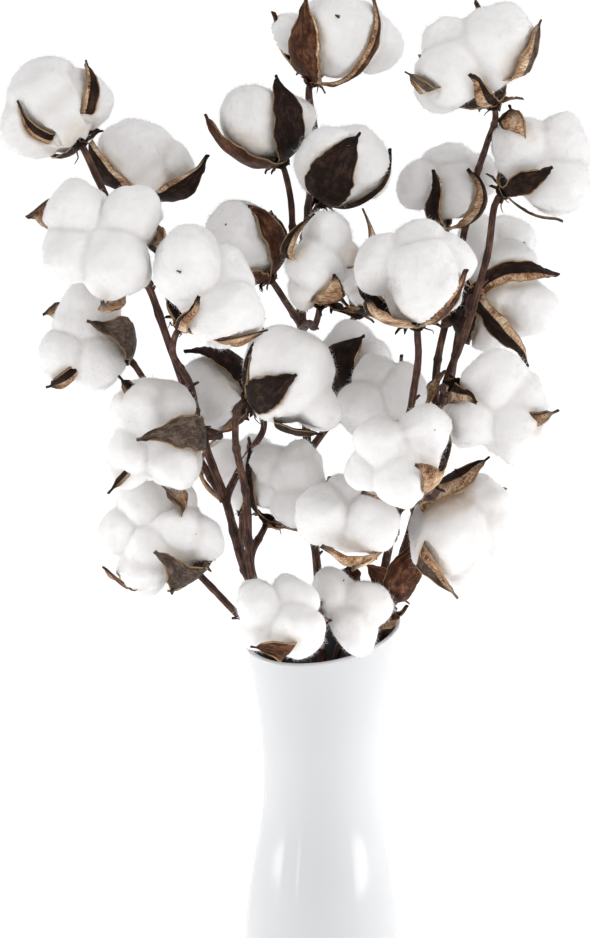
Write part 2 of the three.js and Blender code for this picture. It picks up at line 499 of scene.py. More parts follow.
@dataclass(frozen=True)
class BarkFinish:
    """The bark of the stalks: dark brown with red-brown streaks along it.

    The streaks, patches, pores and shine are counts of bumps a metre.
    """

    dark: Colour = (0.018, 0.007, 0.0045)
    brown: Colour = (0.068, 0.026, 0.016)
    bright: Colour = (0.23, 0.115, 0.075)
    streaks: float = 900.0
    patches: float = 120.0
    pores: float = 700.0
    shine: float = 260.0
    relief: float = 0.0007

    def make(self) -> bpy.types.Material:
        """Builds the material.

        Returns:
            The material.
        """
        look = Paint("bark")
        grain = look.painted("grain", "Vector")
        streaks = look.clouds(look.stretched(grain, (1.0, 1.0, 0.12)), self.streaks, 5.0, 0.65)
        patches = look.clouds(grain, self.patches, 3.0)
        mottled = streaks * 0.65 + patches * 0.35
        colour = look.ramp(mottled, (0.38, self.dark), (0.50, self.brown), (0.64, self.bright))
        rings = look.painted("knot")
        aged = look.mixed(rings * 0.6, colour, self.dark)
        height = streaks + look.clouds(grain, self.pores, 4.0) * 0.5
        return look.surface({
            "Base Color": aged,
            "Roughness": look.clouds(grain, self.shine).climb(0.1, 0.9) * 0.25 + 0.55,
            "Specular IOR Level": 0.35,
            "Normal": look.bumped(height, self.relief, 0.9),
        })


# From the dark veins to the pale ridges between them.
INNER_SKIN: tuple[tuple[float, Colour], ...] = (
    (0.40, (0.07, 0.030, 0.014)),
    (0.455, (0.28, 0.135, 0.068)),
    (0.53, (0.56, 0.37, 0.22)),
    (0.61, (0.84, 0.69, 0.54)),
)


@dataclass(frozen=True)
class HuskFinish:
    """The outside of a dry bur: a woody skin, mottled, with a pale edge.

    The mottle, patches, wobble and veins are counts of bumps a metre.
    """

    name: str
    dark: Colour
    brown: Colour
    bright: Colour
    rim: Colour = (0.36, 0.23, 0.12)
    mottle: float = 520.0
    patches: float = 95.0
    wobble: float = 260.0
    veins: float = 1500.0
    shine: float = 0.14
    relief: float = 0.0005

    def make(self) -> bpy.types.Material:
        """Builds the material.

        Returns:
            The material.
        """
        look = Paint(self.name)
        grain = look.painted("grain", "Vector")
        across = abs(look.painted("across"))
        along = look.painted("along")
        streaks = look.clouds(look.stretched(grain, (1.0, 1.0, 0.3)), self.mottle, 5.0, 0.7)
        patches = look.clouds(grain, self.patches, 3.0)
        mixed = streaks * 0.6 + patches * 0.4
        skin = look.ramp(mixed, (0.38, self.dark), (0.51, self.brown), (0.66, self.bright))
        wobble = look.clouds(grain, self.wobble, 2.0) * 0.12
        veins = look.clouds(look.stretched(grain, (0.3, 0.3, 1.0)), self.veins, 4.0, 0.7)
        tan = look.ramp(veins * 0.5 + patches * 0.5, *INNER_SKIN)
        edge = (across + wobble).climb(0.93, 1.02) * (1.0 - along.climb(0.80, 0.95))
        bare = (look.painted("bare") + wobble * 2.0 - 0.12).climb(0.35, 0.6)
        bare = bare * (1.0 - along.climb(0.85, 0.97))
        colour = look.mixed(edge, look.mixed(bare, skin, tan), self.rim)
        height = streaks + look.clouds(grain, self.veins, 3.0, 0.7) * 0.6
        return look.surface({
            "Base Color": colour,
            "Roughness": look.clouds(grain, 300.0).climb(0.1, 0.9) * 0.3 + 0.5,
            "Specular IOR Level": self.shine,
            "Normal": look.bumped(height, self.relief, 0.9),
        })


@dataclass(frozen=True)
class InnerHuskFinish:
    """The inside of a bur: smooth, tan, with fine veins across it and a dark tip."""

    tip: Colour = (0.050, 0.028, 0.020)
    veins: float = 1500.0
    patches: float = 150.0
    relief: float = 0.0004

    def make(self) -> bpy.types.Material:
        """Builds the material.

        Returns:
            The material.
        """
        look = Paint("husk_inside")
        grain = look.painted("grain", "Vector")
        along = look.painted("along")
        fine = look.clouds(look.stretched(grain, (0.3, 0.3, 1.0)), self.veins, 4.0, 0.7)
        broad = look.clouds(grain, self.patches, 3.0)
        skin = look.ramp(fine * 0.5 + broad * 0.5, *INNER_SKIN)
        ends = (along + look.clouds(grain, 200.0) * 0.15).climb(0.93, 1.03)
        colour = look.mixed(ends, skin, self.tip)
        return look.surface({
            "Base Color": colour,
            "Roughness": fine * 0.3 + 0.35,
            "Specular IOR Level": 0.4,
            "Normal": look.bumped(fine, self.relief, 0.8),
        })


@dataclass(frozen=True)
class GlazeFinish:
    """A glossy glaze, slightly uneven as it ran in the kiln."""

    name: str
    colour: Colour
    shade: Colour
    roughness: float = 0.07
    clouds: float = 9.0
    waves: float = 28.0
    relief: float = 0.0010

    def make(self) -> bpy.types.Material:
        """Builds the material.

        Returns:
            The material.
        """
        look = Paint(self.name)
        spot = look.places()
        tone = look.clouds(spot, self.clouds, 2.0).climb(0.3, 0.7)
        waves = look.clouds(look.stretched(spot, (1.0, 1.0, 0.4)), self.waves, 2.0)
        return look.surface({
            "Base Color": look.mixed(tone, self.colour, self.shade),
            "Roughness": look.clouds(spot, 60.0, 3.0) * 0.06 + self.roughness,
            "IOR": 1.52,
            "Normal": look.bumped(waves, self.relief, 0.25),
        })


GLAZE = GlazeFinish("glaze", (0.615, 0.62, 0.63), (0.595, 0.60, 0.615))
# Painted shade: the inner wall and floor of the vase get a near-black glaze for the shadow inside it.
INSIDE_PAINTED_SHADE = GlazeFinish("glaze_inside", (0.10, 0.10, 0.105), (0.07, 0.07, 0.075), 0.3)


class Tone(Enum):
    """How the outside of a bur has weathered."""

    DARK = "husk_dark"
    RUST = "husk_rust"
    GREY = "husk_grey"


HUSKS = {
    Tone.DARK: HuskFinish(
        Tone.DARK.value, dark=(0.004, 0.0018, 0.0012), brown=(0.016, 0.007, 0.0045),
        bright=(0.065, 0.032, 0.021)),
    Tone.RUST: HuskFinish(
        Tone.RUST.value, dark=(0.014, 0.005, 0.003), brown=(0.075, 0.027, 0.013),
        bright=(0.24, 0.11, 0.058)),
    Tone.GREY: HuskFinish(
        Tone.GREY.value, dark=(0.024, 0.014, 0.010), brown=(0.095, 0.065, 0.049),
        bright=(0.26, 0.20, 0.155), mottle=900.0, shine=0.15),
}


@dataclass
class Finishes:
    """All materials of the object, made once."""

    lint: bpy.types.Material = field(default_factory=lambda: LintFinish().make())
    bark: bpy.types.Material = field(default_factory=lambda: BarkFinish().make())
    inside: bpy.types.Material = field(default_factory=lambda: InnerHuskFinish().make())
    husks: dict[Tone, bpy.types.Material] = field(
        default_factory=lambda: {tone: husk.make() for tone, husk in HUSKS.items()})


# ---------- What a boll is like ----------

VIEW_TILT = math.radians(15)
# The directions right, up and towards the viewer, who looks down at the front by the tilt.
RIGHT_UP_NEAR = np.array([
    [1.0, 0.0, 0.0],
    [0.0, math.sin(VIEW_TILT), math.cos(VIEW_TILT)],
    [0.0, -math.cos(VIEW_TILT), math.sin(VIEW_TILT)],
])


@dataclass(frozen=True)
class Valve:
    """One pointed flap of a bur.

    Right and up give its tip as seen from the front, from the boll's middle and in shares of the
    boll's size. Near is its third direction; a tip without one lies on the side that is seen.
    Via gives the right and up of the flap's middle where it does not run the shortest way. The
    width is half of the widest part, which lies at the share belly of the length. The tilt, in
    degrees, turns one edge outwards, and lip is how strongly both edges roll. Bare is the share of
    the width where the tan inner skin shows, on the right when the tip points up, or on the left if
    it is below zero. Hug is how far out the flap lies, and base is the share of its length that the
    cotton covers. A flap without a tone has its boll's.
    """

    right: float
    up: float
    width: float = 0.30
    near: float | None = None
    tone: Tone | None = None
    via: tuple[float, float] | None = None
    tilt: float = 0.0
    bare: float = 0.12
    lip: float = 1.0
    belly: float = 0.45
    hug: float = 1.02
    base: float = -0.05

    def tip(self) -> np.ndarray:
        """Finds where the tip is.

        Returns:
            The tip's place from the boll's middle, in shares of its size.
        """
        near = self.near
        if near is None:
            near = math.sqrt(max(0.0, 1.05 - self.right**2 - self.up**2))
        return np.array([self.right, self.up, near]) @ RIGHT_UP_NEAR

    def middle(self) -> np.ndarray | None:
        """Finds where the flap's middle is.

        Returns:
            The middle's place from the boll's middle, or nothing where none is given.
        """
        if self.via is None:
            return None
        near = math.sqrt(max(0.0, 1.0 - self.via[0] ** 2 - self.via[1] ** 2))
        return np.array([*self.via, near]) @ RIGHT_UP_NEAR


@dataclass(frozen=True)
class Lock:
    """One lobe of the cotton.

    Its middle, as seen from the front, and its size, which is its radius, are in shares of the
    boll's size.
    """

    right: float
    up: float
    near: float
    size: float

    def middle(self, side: float = 1.0) -> np.ndarray:
        """Returns the middle of the lock, or with a side of -1 of its twin at the back."""
        return np.array([self.right, self.up, side * self.near]) @ RIGHT_UP_NEAR


USUAL_LOCKS = (Lock(-0.4, 0.3, 0.25, 0.55), Lock(0.4, 0.3, 0.25, 0.55), Lock(0.0, -0.4, 0.25, 0.55))


@dataclass(frozen=True)
class Boll:
    """A boll: its size, the way it faces, its stem's route and what its bur and cotton look like.

    The heading runs from the front towards the right and the lift from the level up, both in
    degrees. The size and the route are in millimetres. Count is the least number of flaps; those
    that valves does not hold are put in the gaps. Each crumb is a dark speck on the cotton: right
    and up in shares of the size, and its length in millimetres.
    """

    name: str
    size: float
    heading: float
    lift: float
    route: tuple[Point, ...]
    tone: Tone = Tone.DARK
    valves: tuple[Valve, ...] = ()
    locks: tuple[Lock, ...] = USUAL_LOCKS
    count: int = 4
    crumbs: tuple[tuple[float, float, float], ...] = ()

    @property
    def radius(self) -> float:
        """The boll's size in metres."""
        return self.size * MM


FOOT_HEIGHT = 10.7


def foot(x: float, y: float) -> Point:
    """Returns where a stalk stands on the vase's floor."""
    return (x, y, FOOT_HEIGHT)


STALKS: dict[str, tuple[Boll, ...]] = {
    "stalk_left": (
        Boll("left_top", 29, -140, 40, count=3, route=(
            foot(-14, 8), (-33, 14, 240), (-47, 8, 275), (-59, 5, 320), (-74, 0, 365), (-91, 0, 417),
            (-104, 3, 453), (-115, 0, 480), (-128, -6, 508),
        ), valves=(
            Valve(-0.76, 0.06, 0.19, via=(-0.40, -0.55), bare=-0.35, hug=1.0, base=0.25),
            Valve(0.43, 0.94, 0.19, via=(0.68, 0.15), bare=-0.35, hug=0.99, base=0.2),
            Valve(-0.35, -0.75, 0.2, -0.75),
        ), locks=(
            Lock(-0.47, -0.3, 0.1, 0.6), Lock(-0.2, 0.2, 0.15, 0.76), Lock(0.45, 0.2, 0.1, 0.6),
            Lock(0.1, -0.15, 0.3, 0.62),
        )),
        Boll("left_high", 26, 90, 75, route=((-104, 3, 453), (-110, 28, 470)), valves=(
            Valve(-1.32, 0.5, 0.36, 0.5, via=(-0.76, -0.3), tilt=38, bare=0.35, hug=1.06),
            Valve(1.32, 0.02, 0.36, 0.45, via=(0.64, -0.6), tilt=-38, bare=-0.3, hug=1.06),
        ), locks=(
            Lock(-0.25, 0.15, 0.2, 0.74), Lock(0.5, -0.12, 0.1, 0.5), Lock(0.05, -0.3, 0.2, 0.52),
        )),
        Boll("left_front", 33, -10, -5, tone=Tone.GREY, route=((-115, 0, 480),), valves=(
            Valve(-1.2, 0.42, 0.38, 0.25, bare=0.8, belly=0.68, hug=1.04),
            Valve(0.97, -0.2, 0.28, 0.35, bare=0.7, belly=0.6),
            Valve(-0.12, -1.05, 0.2, 0.75, bare=0.8, belly=0.65),
        ), locks=(
            Lock(-0.5, 0.5, 0.25, 0.48), Lock(0.48, 0.4, 0.3, 0.5), Lock(-0.58, -0.25, 0.35, 0.46),
            Lock(0.22, -0.45, 0.4, 0.55),
        )),
        Boll("left_outer", 29, -50, 25, tone=Tone.GREY, route=(
            (-59, 5, 320), (-84, 18, 356), (-106, 32, 384),
        ), valves=(
            Valve(0.0, 0.26, 0.40, belly=0.42),
            Valve(0.73, 0.22, 0.18, 0.5),
            Valve(-0.84, 0.56, 0.24, 0.2, bare=0.7, belly=0.82, hug=0.98, base=0.74),
            Valve(-0.86, -0.84, 0.24, 0.2, Tone.DARK, via=(-0.1, -0.75), bare=-0.4, belly=0.82, hug=1.0,
                  base=0.74),
        ), locks=(
            Lock(0.0, 0.5, 0.2, 0.58), Lock(-0.45, -0.3, 0.25, 0.5), Lock(0.2, -0.45, 0.25, 0.5),
        )),
        Boll("left_side", 29, -65, 5, tone=Tone.GREY, route=((-74, 0, 365), (-62, -9, 364)), valves=(
            Valve(-0.42, 0.04, 0.40, belly=0.4),
            Valve(-0.86, 1.1, 0.24, 0.3, Tone.DARK, via=(-0.2, 0.66), bare=-0.4, belly=0.86, hug=1.0,
                  base=0.82),
            Valve(-1.06, -0.96, 0.18, 0.2, Tone.DARK, via=(-0.32, -0.56), bare=-0.4, belly=0.86,
                  hug=1.0, base=0.86),
        ), locks=(
            Lock(-0.4, 0.55, 0.2, 0.6), Lock(0.15, 0.6, 0.1, 0.5), Lock(-0.65, -0.3, 0.25, 0.42),
            Lock(-0.62, -0.72, 0.05, 0.34), Lock(0.25, -0.5, 0.3, 0.5),
        )),
        Boll("left_inner", 31, 70, 50, route=((-74, 0, 365), (-79, -22, 398), (-87, -52, 424)), valves=(
            Valve(-0.1, -0.18, 0.15, bare=0.6),
            Valve(1.0, -0.72, 0.32, 0.35, via=(0.4, -0.85), bare=0.85, belly=0.6, hug=0.98, base=0.5),
            Valve(0.91, -0.45, 0.12, -0.4),
        ), locks=(
            Lock(-0.37, 0.42, 0.25, 0.62), Lock(0.3, -0.42, 0.3, 0.6), Lock(0.15, 0.2, 0.0, 0.55),
        ), crumbs=((-0.55, 0.29, 4.0),)),
        Boll("left_behind", 26, -105, 15, route=((-59, 5, 320), (-46, 26, 342), (-36, 24, 360)), valves=(
            Valve(-0.6, 0.9, 0.42, 0.4, bare=0.0, hug=1.08),
            Valve(0.05, -0.9, 0.30, 0.3, Tone.RUST, bare=0.4),
        ), locks=(Lock(-0.1, 0.0, 0.1, 0.85),)),
        Boll("left_back", 24, 90, 90, tone=Tone.RUST, route=(
            (-47, 8, 275), (-50, 40, 278), (-50, 64, 284),
        ), valves=(
            Valve(-0.46, 0.95, 0.35, 0.3, bare=0.7),
            Valve(0.1, 0.8, 0.2, 0.5, bare=0.5),
        )),
    ),
    "stalk_low": (
        Boll("low_left", 34, -40, 45, tone=Tone.GREY, count=5, route=(
            foot(-10, -6), (-36, -14, 238), (-53, -14, 255), (-68, -8, 270),
        ), valves=(
            Valve(-0.05, -0.2, 0.38, belly=0.42),
            Valve(0.68, -0.45, 0.24, 0.5),
            Valve(0.08, -0.92, 0.2, 0.4),
            Valve(0.05, 0.86, 0.30, 0.55, via=(0.42, 0.55), bare=0.6, belly=0.82, hug=1.0, base=0.76),
            Valve(-0.90, -0.52, 0.30, 0.5, Tone.RUST, bare=-0.3, belly=0.72, hug=1.02, base=0.6),
        ), locks=(
            Lock(-0.4, 0.55, 0.2, 0.4), Lock(0.3, 0.12, 0.35, 0.4), Lock(0.68, -0.02, 0.25, 0.38),
            Lock(-0.75, 0.08, 0.2, 0.38), Lock(-0.33, -0.6, 0.25, 0.38), Lock(-0.25, -0.2, 0.35, 0.35),
            Lock(0.1, 0.6, 0.0, 0.4),
        ), crumbs=((0.63, 0.07, 1.2),)),
    ),
    "stalk_inner": (
        Boll("inner_front", 30, 90, 25, route=(
            foot(-6, 2), (-30, -1, 240), (-42, -3, 270), (-46, -18, 330), (-52, -44, 372),
        ), valves=(
            Valve(0.08, 0.12, 0.33, via=(-0.4, -0.25), bare=0.0, lip=0.5),
            Valve(-0.42, 0.9, 0.16, 0.1, via=(-0.9, 0.2)),
            Valve(0.58, -0.95, 0.4, 0.25, via=(0.0, -0.97), bare=0.0, belly=0.6, hug=0.99, base=0.36),
        ), locks=(
            Lock(0.0, 0.1, 0.1, 0.86), Lock(0.5, -0.5, 0.15, 0.42),
        )),
        Boll("inner_low", 29, 90, 60, tone=Tone.GREY, route=((-42, -3, 270), (-43, 3, 285)), valves=(
            Valve(-0.8, 0.65, 0.2, 0.3, Tone.DARK, via=(-0.8, -0.1)),
            Valve(0.72, 0.15, 0.22, 0.5, bare=0.6),
            Valve(0.42, -0.95, 0.36, 0.3, Tone.RUST, bare=0.4),
            Valve(-0.42, -0.88, 0.34, 0.38, Tone.DARK, bare=0.3),
        ), locks=(
            Lock(-0.4, 0.35, 0.25, 0.48), Lock(0.15, 0.25, 0.3, 0.55), Lock(0.15, -0.45, 0.35, 0.48),
            Lock(-0.5, -0.15, 0.25, 0.4),
        )),
    ),
    "stalk_middle": (
        Boll("middle_top", 32, 90, 65, tone=Tone.RUST, route=(
            foot(0, 12), (-1, 14, 240), (-4, 29, 278), (-9, 38, 340), (-11, 38, 380), (-12, 38, 420),
            (-11, 38, 470), (-5, 38, 535),
        ), valves=(
            Valve(-0.5, 0.6, 0.38, 0.5, via=(-0.5, -0.1), bare=0.2),
            Valve(0.74, 0.6, 0.15, 0.35, via=(0.68, -0.3), bare=-0.4, belly=0.7),
        ), locks=(
            Lock(0.12, 0.0, 0.2, 0.7), Lock(-0.75, 0.0, -0.2, 0.42), Lock(0.8, -0.1, -0.2, 0.45),
        ), crumbs=((0.15, 0.3, 6.0), (-0.1, 0.75, 1.5))),
        Boll("middle_high", 27, -90, 65, route=((-12, 38, 420), (-18, 28, 470), (-19, 21, 500)), valves=(
            Valve(0.17, 0.96, 0.40, 0.3, via=(0.5, 0.1), bare=0.0, lip=0.5),
            Valve(-1.12, 0.2, 0.52, 0.5, Tone.RUST, via=(-0.6, -0.64), tilt=-15, bare=0.1, belly=0.5,
                  hug=1.05),
        ), locks=(
            Lock(-0.2, 0.1, 0.15, 0.8), Lock(0.5, 0.15, 0.0, 0.5),
        )),
        Boll("middle_right", 26, 90, 60, route=((-11, 38, 470), (-11, 15, 482)), valves=(
            Valve(0.3, 0.67, 0.50, via=(-0.12, -0.1), bare=0.0, lip=0.4),
            Valve(1.02, 0.35, 0.16, -0.1, via=(0.6, -0.7)),
        ), locks=(Lock(0.0, 0.05, 0.0, 0.93),)),
        Boll("middle_front", 27, 90, 85, route=((-12, 38, 420), (-8, 10, 428), (-5, -25, 434)), valves=(
            Valve(-0.25, 0.95, 0.26, 0.5, via=(-0.75, 0.1), bare=0.45, belly=0.65, hug=0.97, base=0.55),
            Valve(0.85, 1.05, 0.24, 0.0, Tone.GREY, via=(0.85, 0.0), bare=0.6, belly=0.65, hug=0.97,
                  base=0.55),
            Valve(0.26, -0.3, 0.32, 1.0, bare=-0.75),
            Valve(0.58, -1.15, 0.15, 0.5),
        ), locks=(
            Lock(0.1, 0.6, 0.15, 0.56), Lock(-0.2, -0.1, 0.3, 0.55), Lock(-0.35, -0.55, 0.15, 0.4),
            Lock(0.4, 0.15, 0.1, 0.42),
        )),
        Boll("middle_left", 25, -90, 55, tone=Tone.RUST, route=((-12, 38, 420), (-22, 18, 438)), valves=(
            Valve(-0.1, 0.95, 0.34, 0.2, via=(0.68, 0.2), lip=0.6),
            Valve(-0.38, -0.43, 0.36, 0.8, lip=0.6),
        ), locks=(Lock(-0.1, 0.12, 0.05, 0.86),), crumbs=((-0.52, 0.5, 3.4),)),
        Boll("middle_low", 25, 90, 70, route=((-9, 38, 340), (4, 38, 358)), valves=(
            Valve(0.23, 0.6, 0.6, via=(-0.5, -0.05), lip=0.4),
            Valve(1.02, 0.25, 0.15, 0.2),
        ), locks=(
            Lock(0.3, 0.1, 0.3, 0.5), Lock(-0.1, 0.35, 0.0, 0.6), Lock(0.3, -0.45, 0.2, 0.45),
        )),
        Boll("middle_back", 23, 90, 65, route=((-11, 38, 380), (-2, 62, 400))),
    ),
    "stalk_right": (
        Boll("right_outer", 28, 90, 35, route=(
            foot(14, 2), (37, -2, 240), (41, 0, 258), (50, 0, 293), (56, 0, 315), (61, 0, 334),
            (68, 2, 355), (72, -8, 392), (86, -24, 440), (95, -24, 475),
        ), valves=(
            Valve(-0.52, 1.16, 0.50, 0.5, via=(-0.6, 0.46), tilt=20, bare=0.75, belly=0.8, base=0.74),
            Valve(0.22, -0.15, 0.26, via=(-0.3, -0.4), belly=0.6),
            Valve(0.47, -1.05, 0.12, 0.1, Tone.GREY),
        ), locks=(
            Lock(-0.35, 0.42, 0.2, 0.58), Lock(0.42, 0.45, 0.15, 0.6), Lock(0.38, -0.38, 0.25, 0.58),
        )),
        Boll("right_top", 33, -90, 65, tone=Tone.GREY, count=5, route=(
            (68, 2, 355), (67, 0, 400), (74, 10, 432), (82, 26, 468), (89, 26, 505), (95, 4, 536),
        ), valves=(
            Valve(-1.12, -0.32, 0.34, 0.3, via=(-0.68, -0.62), bare=-0.4, belly=0.75, hug=0.99,
                  base=0.66),
            Valve(1.03, 0.6, 0.32, 0.35, via=(0.85, -0.2), bare=-0.55, belly=0.6, hug=1.0, base=0.35),
            Valve(-0.05, -0.35, 0.18, 0.95, Tone.DARK, bare=-0.5),
            Valve(0.0, 0.95, 0.15, -0.4),
        ), locks=(
            Lock(0.42, 0.25, 0.2, 0.58), Lock(-0.42, -0.35, 0.3, 0.48), Lock(-0.4, 0.25, 0.0, 0.45),
            Lock(0.0, 0.0, 0.1, 0.45),
        )),
        Boll("right_high", 28, 90, 80, count=3, route=((73, -2, 430), (70, 22, 448)), valves=(
            Valve(-0.27, 0.24, 0.21, via=(-0.3, -0.3), bare=0.2),
            Valve(0.38, 0.3, 0.24, via=(0.62, -0.3), bare=-0.55),
            Valve(0.0, 0.3, 0.3, -0.95),
        ), locks=(
            Lock(-0.55, 0.05, 0.2, 0.5), Lock(0.12, -0.1, 0.45, 0.5), Lock(0.58, 0.25, 0.15, 0.45),
            Lock(0.0, 0.45, 0.1, 0.5),
        )),
        Boll("right_side", 33, 145, -10, route=((86, -24, 440),), valves=(
            Valve(0.94, 0.25, 0.22, 0.4, via=(0.25, 0.42), bare=0.4),
            Valve(0.52, -1.15, 0.22, 0.3, via=(-0.08, -0.62), bare=-0.4),
            Valve(-0.9, 0.3, 0.25, 0.0),
        ), locks=(
            Lock(-0.3, -0.6, 0.1, 0.42), Lock(0.45, -0.2, 0.2, 0.48), Lock(0.2, 0.48, 0.2, 0.5),
            Lock(-0.1, 0.0, -0.3, 0.6),
        )),
        Boll("right_back", 23, 90, 55, route=((68, 2, 355), (78, 38, 388), (86, 64, 425)), valves=(
            Valve(0.73, 0.15, 0.2, 0.6, Tone.GREY, bare=0.7),
        )),
        Boll("right_low", 31, 55, -5, route=((72, -8, 392), (71, -26, 397)), valves=(
            Valve(-0.4, 0.12, 0.2, 0.95, bare=0.5),
            Valve(-0.9, 0.5, 0.2, 0.3),
            Valve(1.02, -0.15, 0.22, 0.4, Tone.GREY, via=(0.5, -0.3), bare=0.7, belly=0.86, hug=0.98,
                  base=0.8),
        ), locks=(
            Lock(-0.05, 0.45, 0.3, 0.55), Lock(-0.5, -0.25, 0.35, 0.46), Lock(0.3, -0.45, 0.25, 0.5),
            Lock(0.42, 0.12, 0.15, 0.47),
        )),
        Boll("right_inner", 27, -35, 50, tone=Tone.GREY, route=((61, 0, 334), (55, 5, 350)), valves=(
            Valve(1.25, 0.55, 0.26, 0.2, bare=-0.8),
        ), locks=(
            Lock(-0.45, -0.35, 0.35, 0.5), Lock(0.42, 0.1, 0.3, 0.5), Lock(-0.2, 0.45, 0.1, 0.45),
        )),
        Boll("right_rim", 33, 55, -20, route=((56, 0, 315),), valves=(
            Valve(0.42, 1.28, 0.50, 0.4, via=(-0.15, 0.78), bare=0.5, belly=0.5, base=0.36),
            Valve(-0.1, -1.12, 0.3, 0.4, Tone.GREY, via=(-0.55, -0.5), bare=-0.5, belly=0.6, hug=0.98,
                  base=0.5),
        ), locks=(
            Lock(0.35, 0.55, 0.1, 0.5), Lock(-0.12, 0.0, 0.25, 0.7), Lock(0.45, 0.1, 0.1, 0.5),
            Lock(0.15, -0.5, 0.15, 0.46),
        )),
    ),
    "stalk_front": (
        Boll("front_top", 32, -90, 85, route=(
            foot(6, -4), (27, 6, 240), (35, -3, 272), (42, -20, 308), (46, -44, 345), (51, -58, 400),
            (54, -74, 428),
        ), valves=(
            Valve(-0.82, -0.40, 0.42, 0.68, bare=0.62, belly=0.52, hug=1.05),
            Valve(0.87, 0.05, 0.22, 0.45, Tone.RUST, via=(0.6, -0.6), bare=-0.45),
        ), locks=(
            Lock(0.22, -0.15, 0.35, 0.66), Lock(-0.5, 0.2, 0.0, 0.52), Lock(0.1, 0.45, 0.0, 0.55),
            Lock(0.5, 0.25, 0.0, 0.5),
        )),
        Boll("front_middle", 28, -70, 45, tone=Tone.GREY, route=((46, -44, 345), (60, -62, 340)), valves=(
            Valve(0.22, -0.15, 0.28, 0.95, bare=0.85),
        ), locks=(
            Lock(0.42, 0.5, 0.25, 0.48), Lock(-0.42, 0.2, 0.3, 0.52), Lock(-0.1, -0.55, 0.3, 0.48),
            Lock(-0.7, -0.3, 0.0, 0.42),
        ), crumbs=((0.63, 0.43, 1.2),)),
        Boll("front_low", 29, -70, 30, tone=Tone.GREY, route=((42, -20, 308),), valves=(
            Valve(-0.5, -0.45, 0.26, 0.75, bare=0.8),
            Valve(0.08, -0.88, 0.22, 0.55, bare=0.8),
        ), locks=(
            Lock(-0.45, 0.1, 0.25, 0.5), Lock(0.42, -0.1, 0.35, 0.56), Lock(0.0, 0.42, 0.1, 0.45),
        )),
    ),
    "stalk_rim": (
        Boll("rim_left", 27, -35, 15, tone=Tone.RUST, count=3, route=(
            foot(0, -12), (0, -17, 200), (-3, -26, 238),
        ), valves=(
            Valve(-0.6, -0.44, 0.32, 0.72, via=(-0.02, -0.6), belly=0.76, hug=1.0, base=0.64),
            Valve(1.0, -0.1, 0.2, 0.0),
        ), locks=(
            Lock(-0.48, 0.3, 0.25, 0.48), Lock(0.33, -0.22, 0.35, 0.55), Lock(0.3, 0.5, 0.05, 0.46),
            Lock(-0.5, -0.2, 0.1, 0.42),
        )),
        Boll("rim_right", 26, 10, 30, tone=Tone.RUST, route=((0, -17, 200), (8, -8, 225)), valves=(
            Valve(-0.72, 0.1, 0.24, 0.5, bare=0.3),
            Valve(0.9, -0.1, 0.2, 0.3, bare=-0.5),
            Valve(1.1, 0.0, 0.07, 0.2, Tone.DARK),
        ), locks=(
            Lock(-0.5, 0.42, 0.1, 0.45), Lock(0.3, 0.12, 0.25, 0.56), Lock(0.0, -0.42, 0.3, 0.48),
        ), crumbs=((-0.25, 0.73, 2.2),)),
    ),
}


# ---------- Where a boll is ----------

# How high the flattened ball of a boll is, for a width of one.
FLATNESS = 0.85


class BollFrame:
    """A boll's own frame: Z is the way it faces, away from its stem."""

    def __init__(self, boll: Boll, middle: np.ndarray | None = None) -> None:
        """Sets the frame's middle and axes.

        Args:
            boll: The boll, which says the way it faces.
            middle: The boll's middle, or nothing for the middle of its cotton's CAD node.
        """
        if middle is None:
            low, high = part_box(f"cotton_{boll.name}")
            middle = np.array((low + high) / 2)
        self.middle = middle
        turn, lift = math.radians(boll.heading), math.radians(boll.lift)
        ahead = math.cos(lift)
        facing = np.array([math.sin(turn) * ahead, -math.cos(turn) * ahead, math.sin(lift)])
        level = np.array([math.cos(turn), math.sin(turn), 0.0])
        self.axes = np.array([level, np.cross(facing, level), facing])

    def outwards(self, points: np.ndarray) -> np.ndarray:
        """Returns points of the boll's frame as points of the object's frame."""
        return points @ self.axes + self.middle

    def inwards(self, points: np.ndarray) -> np.ndarray:
        """Returns points of the object's frame as points of the boll's frame."""
        return (points - self.middle) @ self.axes.T

    def turned(self, shift: np.ndarray) -> np.ndarray:
        """Returns a shift in the object's frame as one on the ball that the flat boll comes from."""
        own = shift @ self.axes.T
        return own / np.array([1.0, 1.0, FLATNESS])


# ---------- The bur ----------

# The way to the hub, where all valves of a bur meet, in the boll's frame.
HUB = np.array([0.0, 0.0, -1.0])


@dataclass(frozen=True)
class Sheets:
    """The flat sheets, one unit square, that the flaps of the burs are shaped from."""

    valve: bpy.types.Object
    sepal: bpy.types.Object

    @classmethod
    def make(cls) -> "Sheets":
        """Returns both sheets."""
        return cls(cls._sheet(12, 30), cls._sheet(6, 8))

    @staticmethod
    def _sheet(columns: int, rows: int) -> bpy.types.Object:
        """Makes one sheet.

        Args:
            columns: How many faces wide it is.
            rows: How many faces long it is.

        Returns:
            The sheet.
        """
        deselect()
        bpy.ops.mesh.primitive_grid_add(x_subdivisions=columns, y_subdivisions=rows, size=1.0)
        return bpy.context.active_object

    def remove(self) -> None:
        """Removes both sheets once every flap is made."""
        bpy.data.objects.remove(self.valve)
        bpy.data.objects.remove(self.sepal)


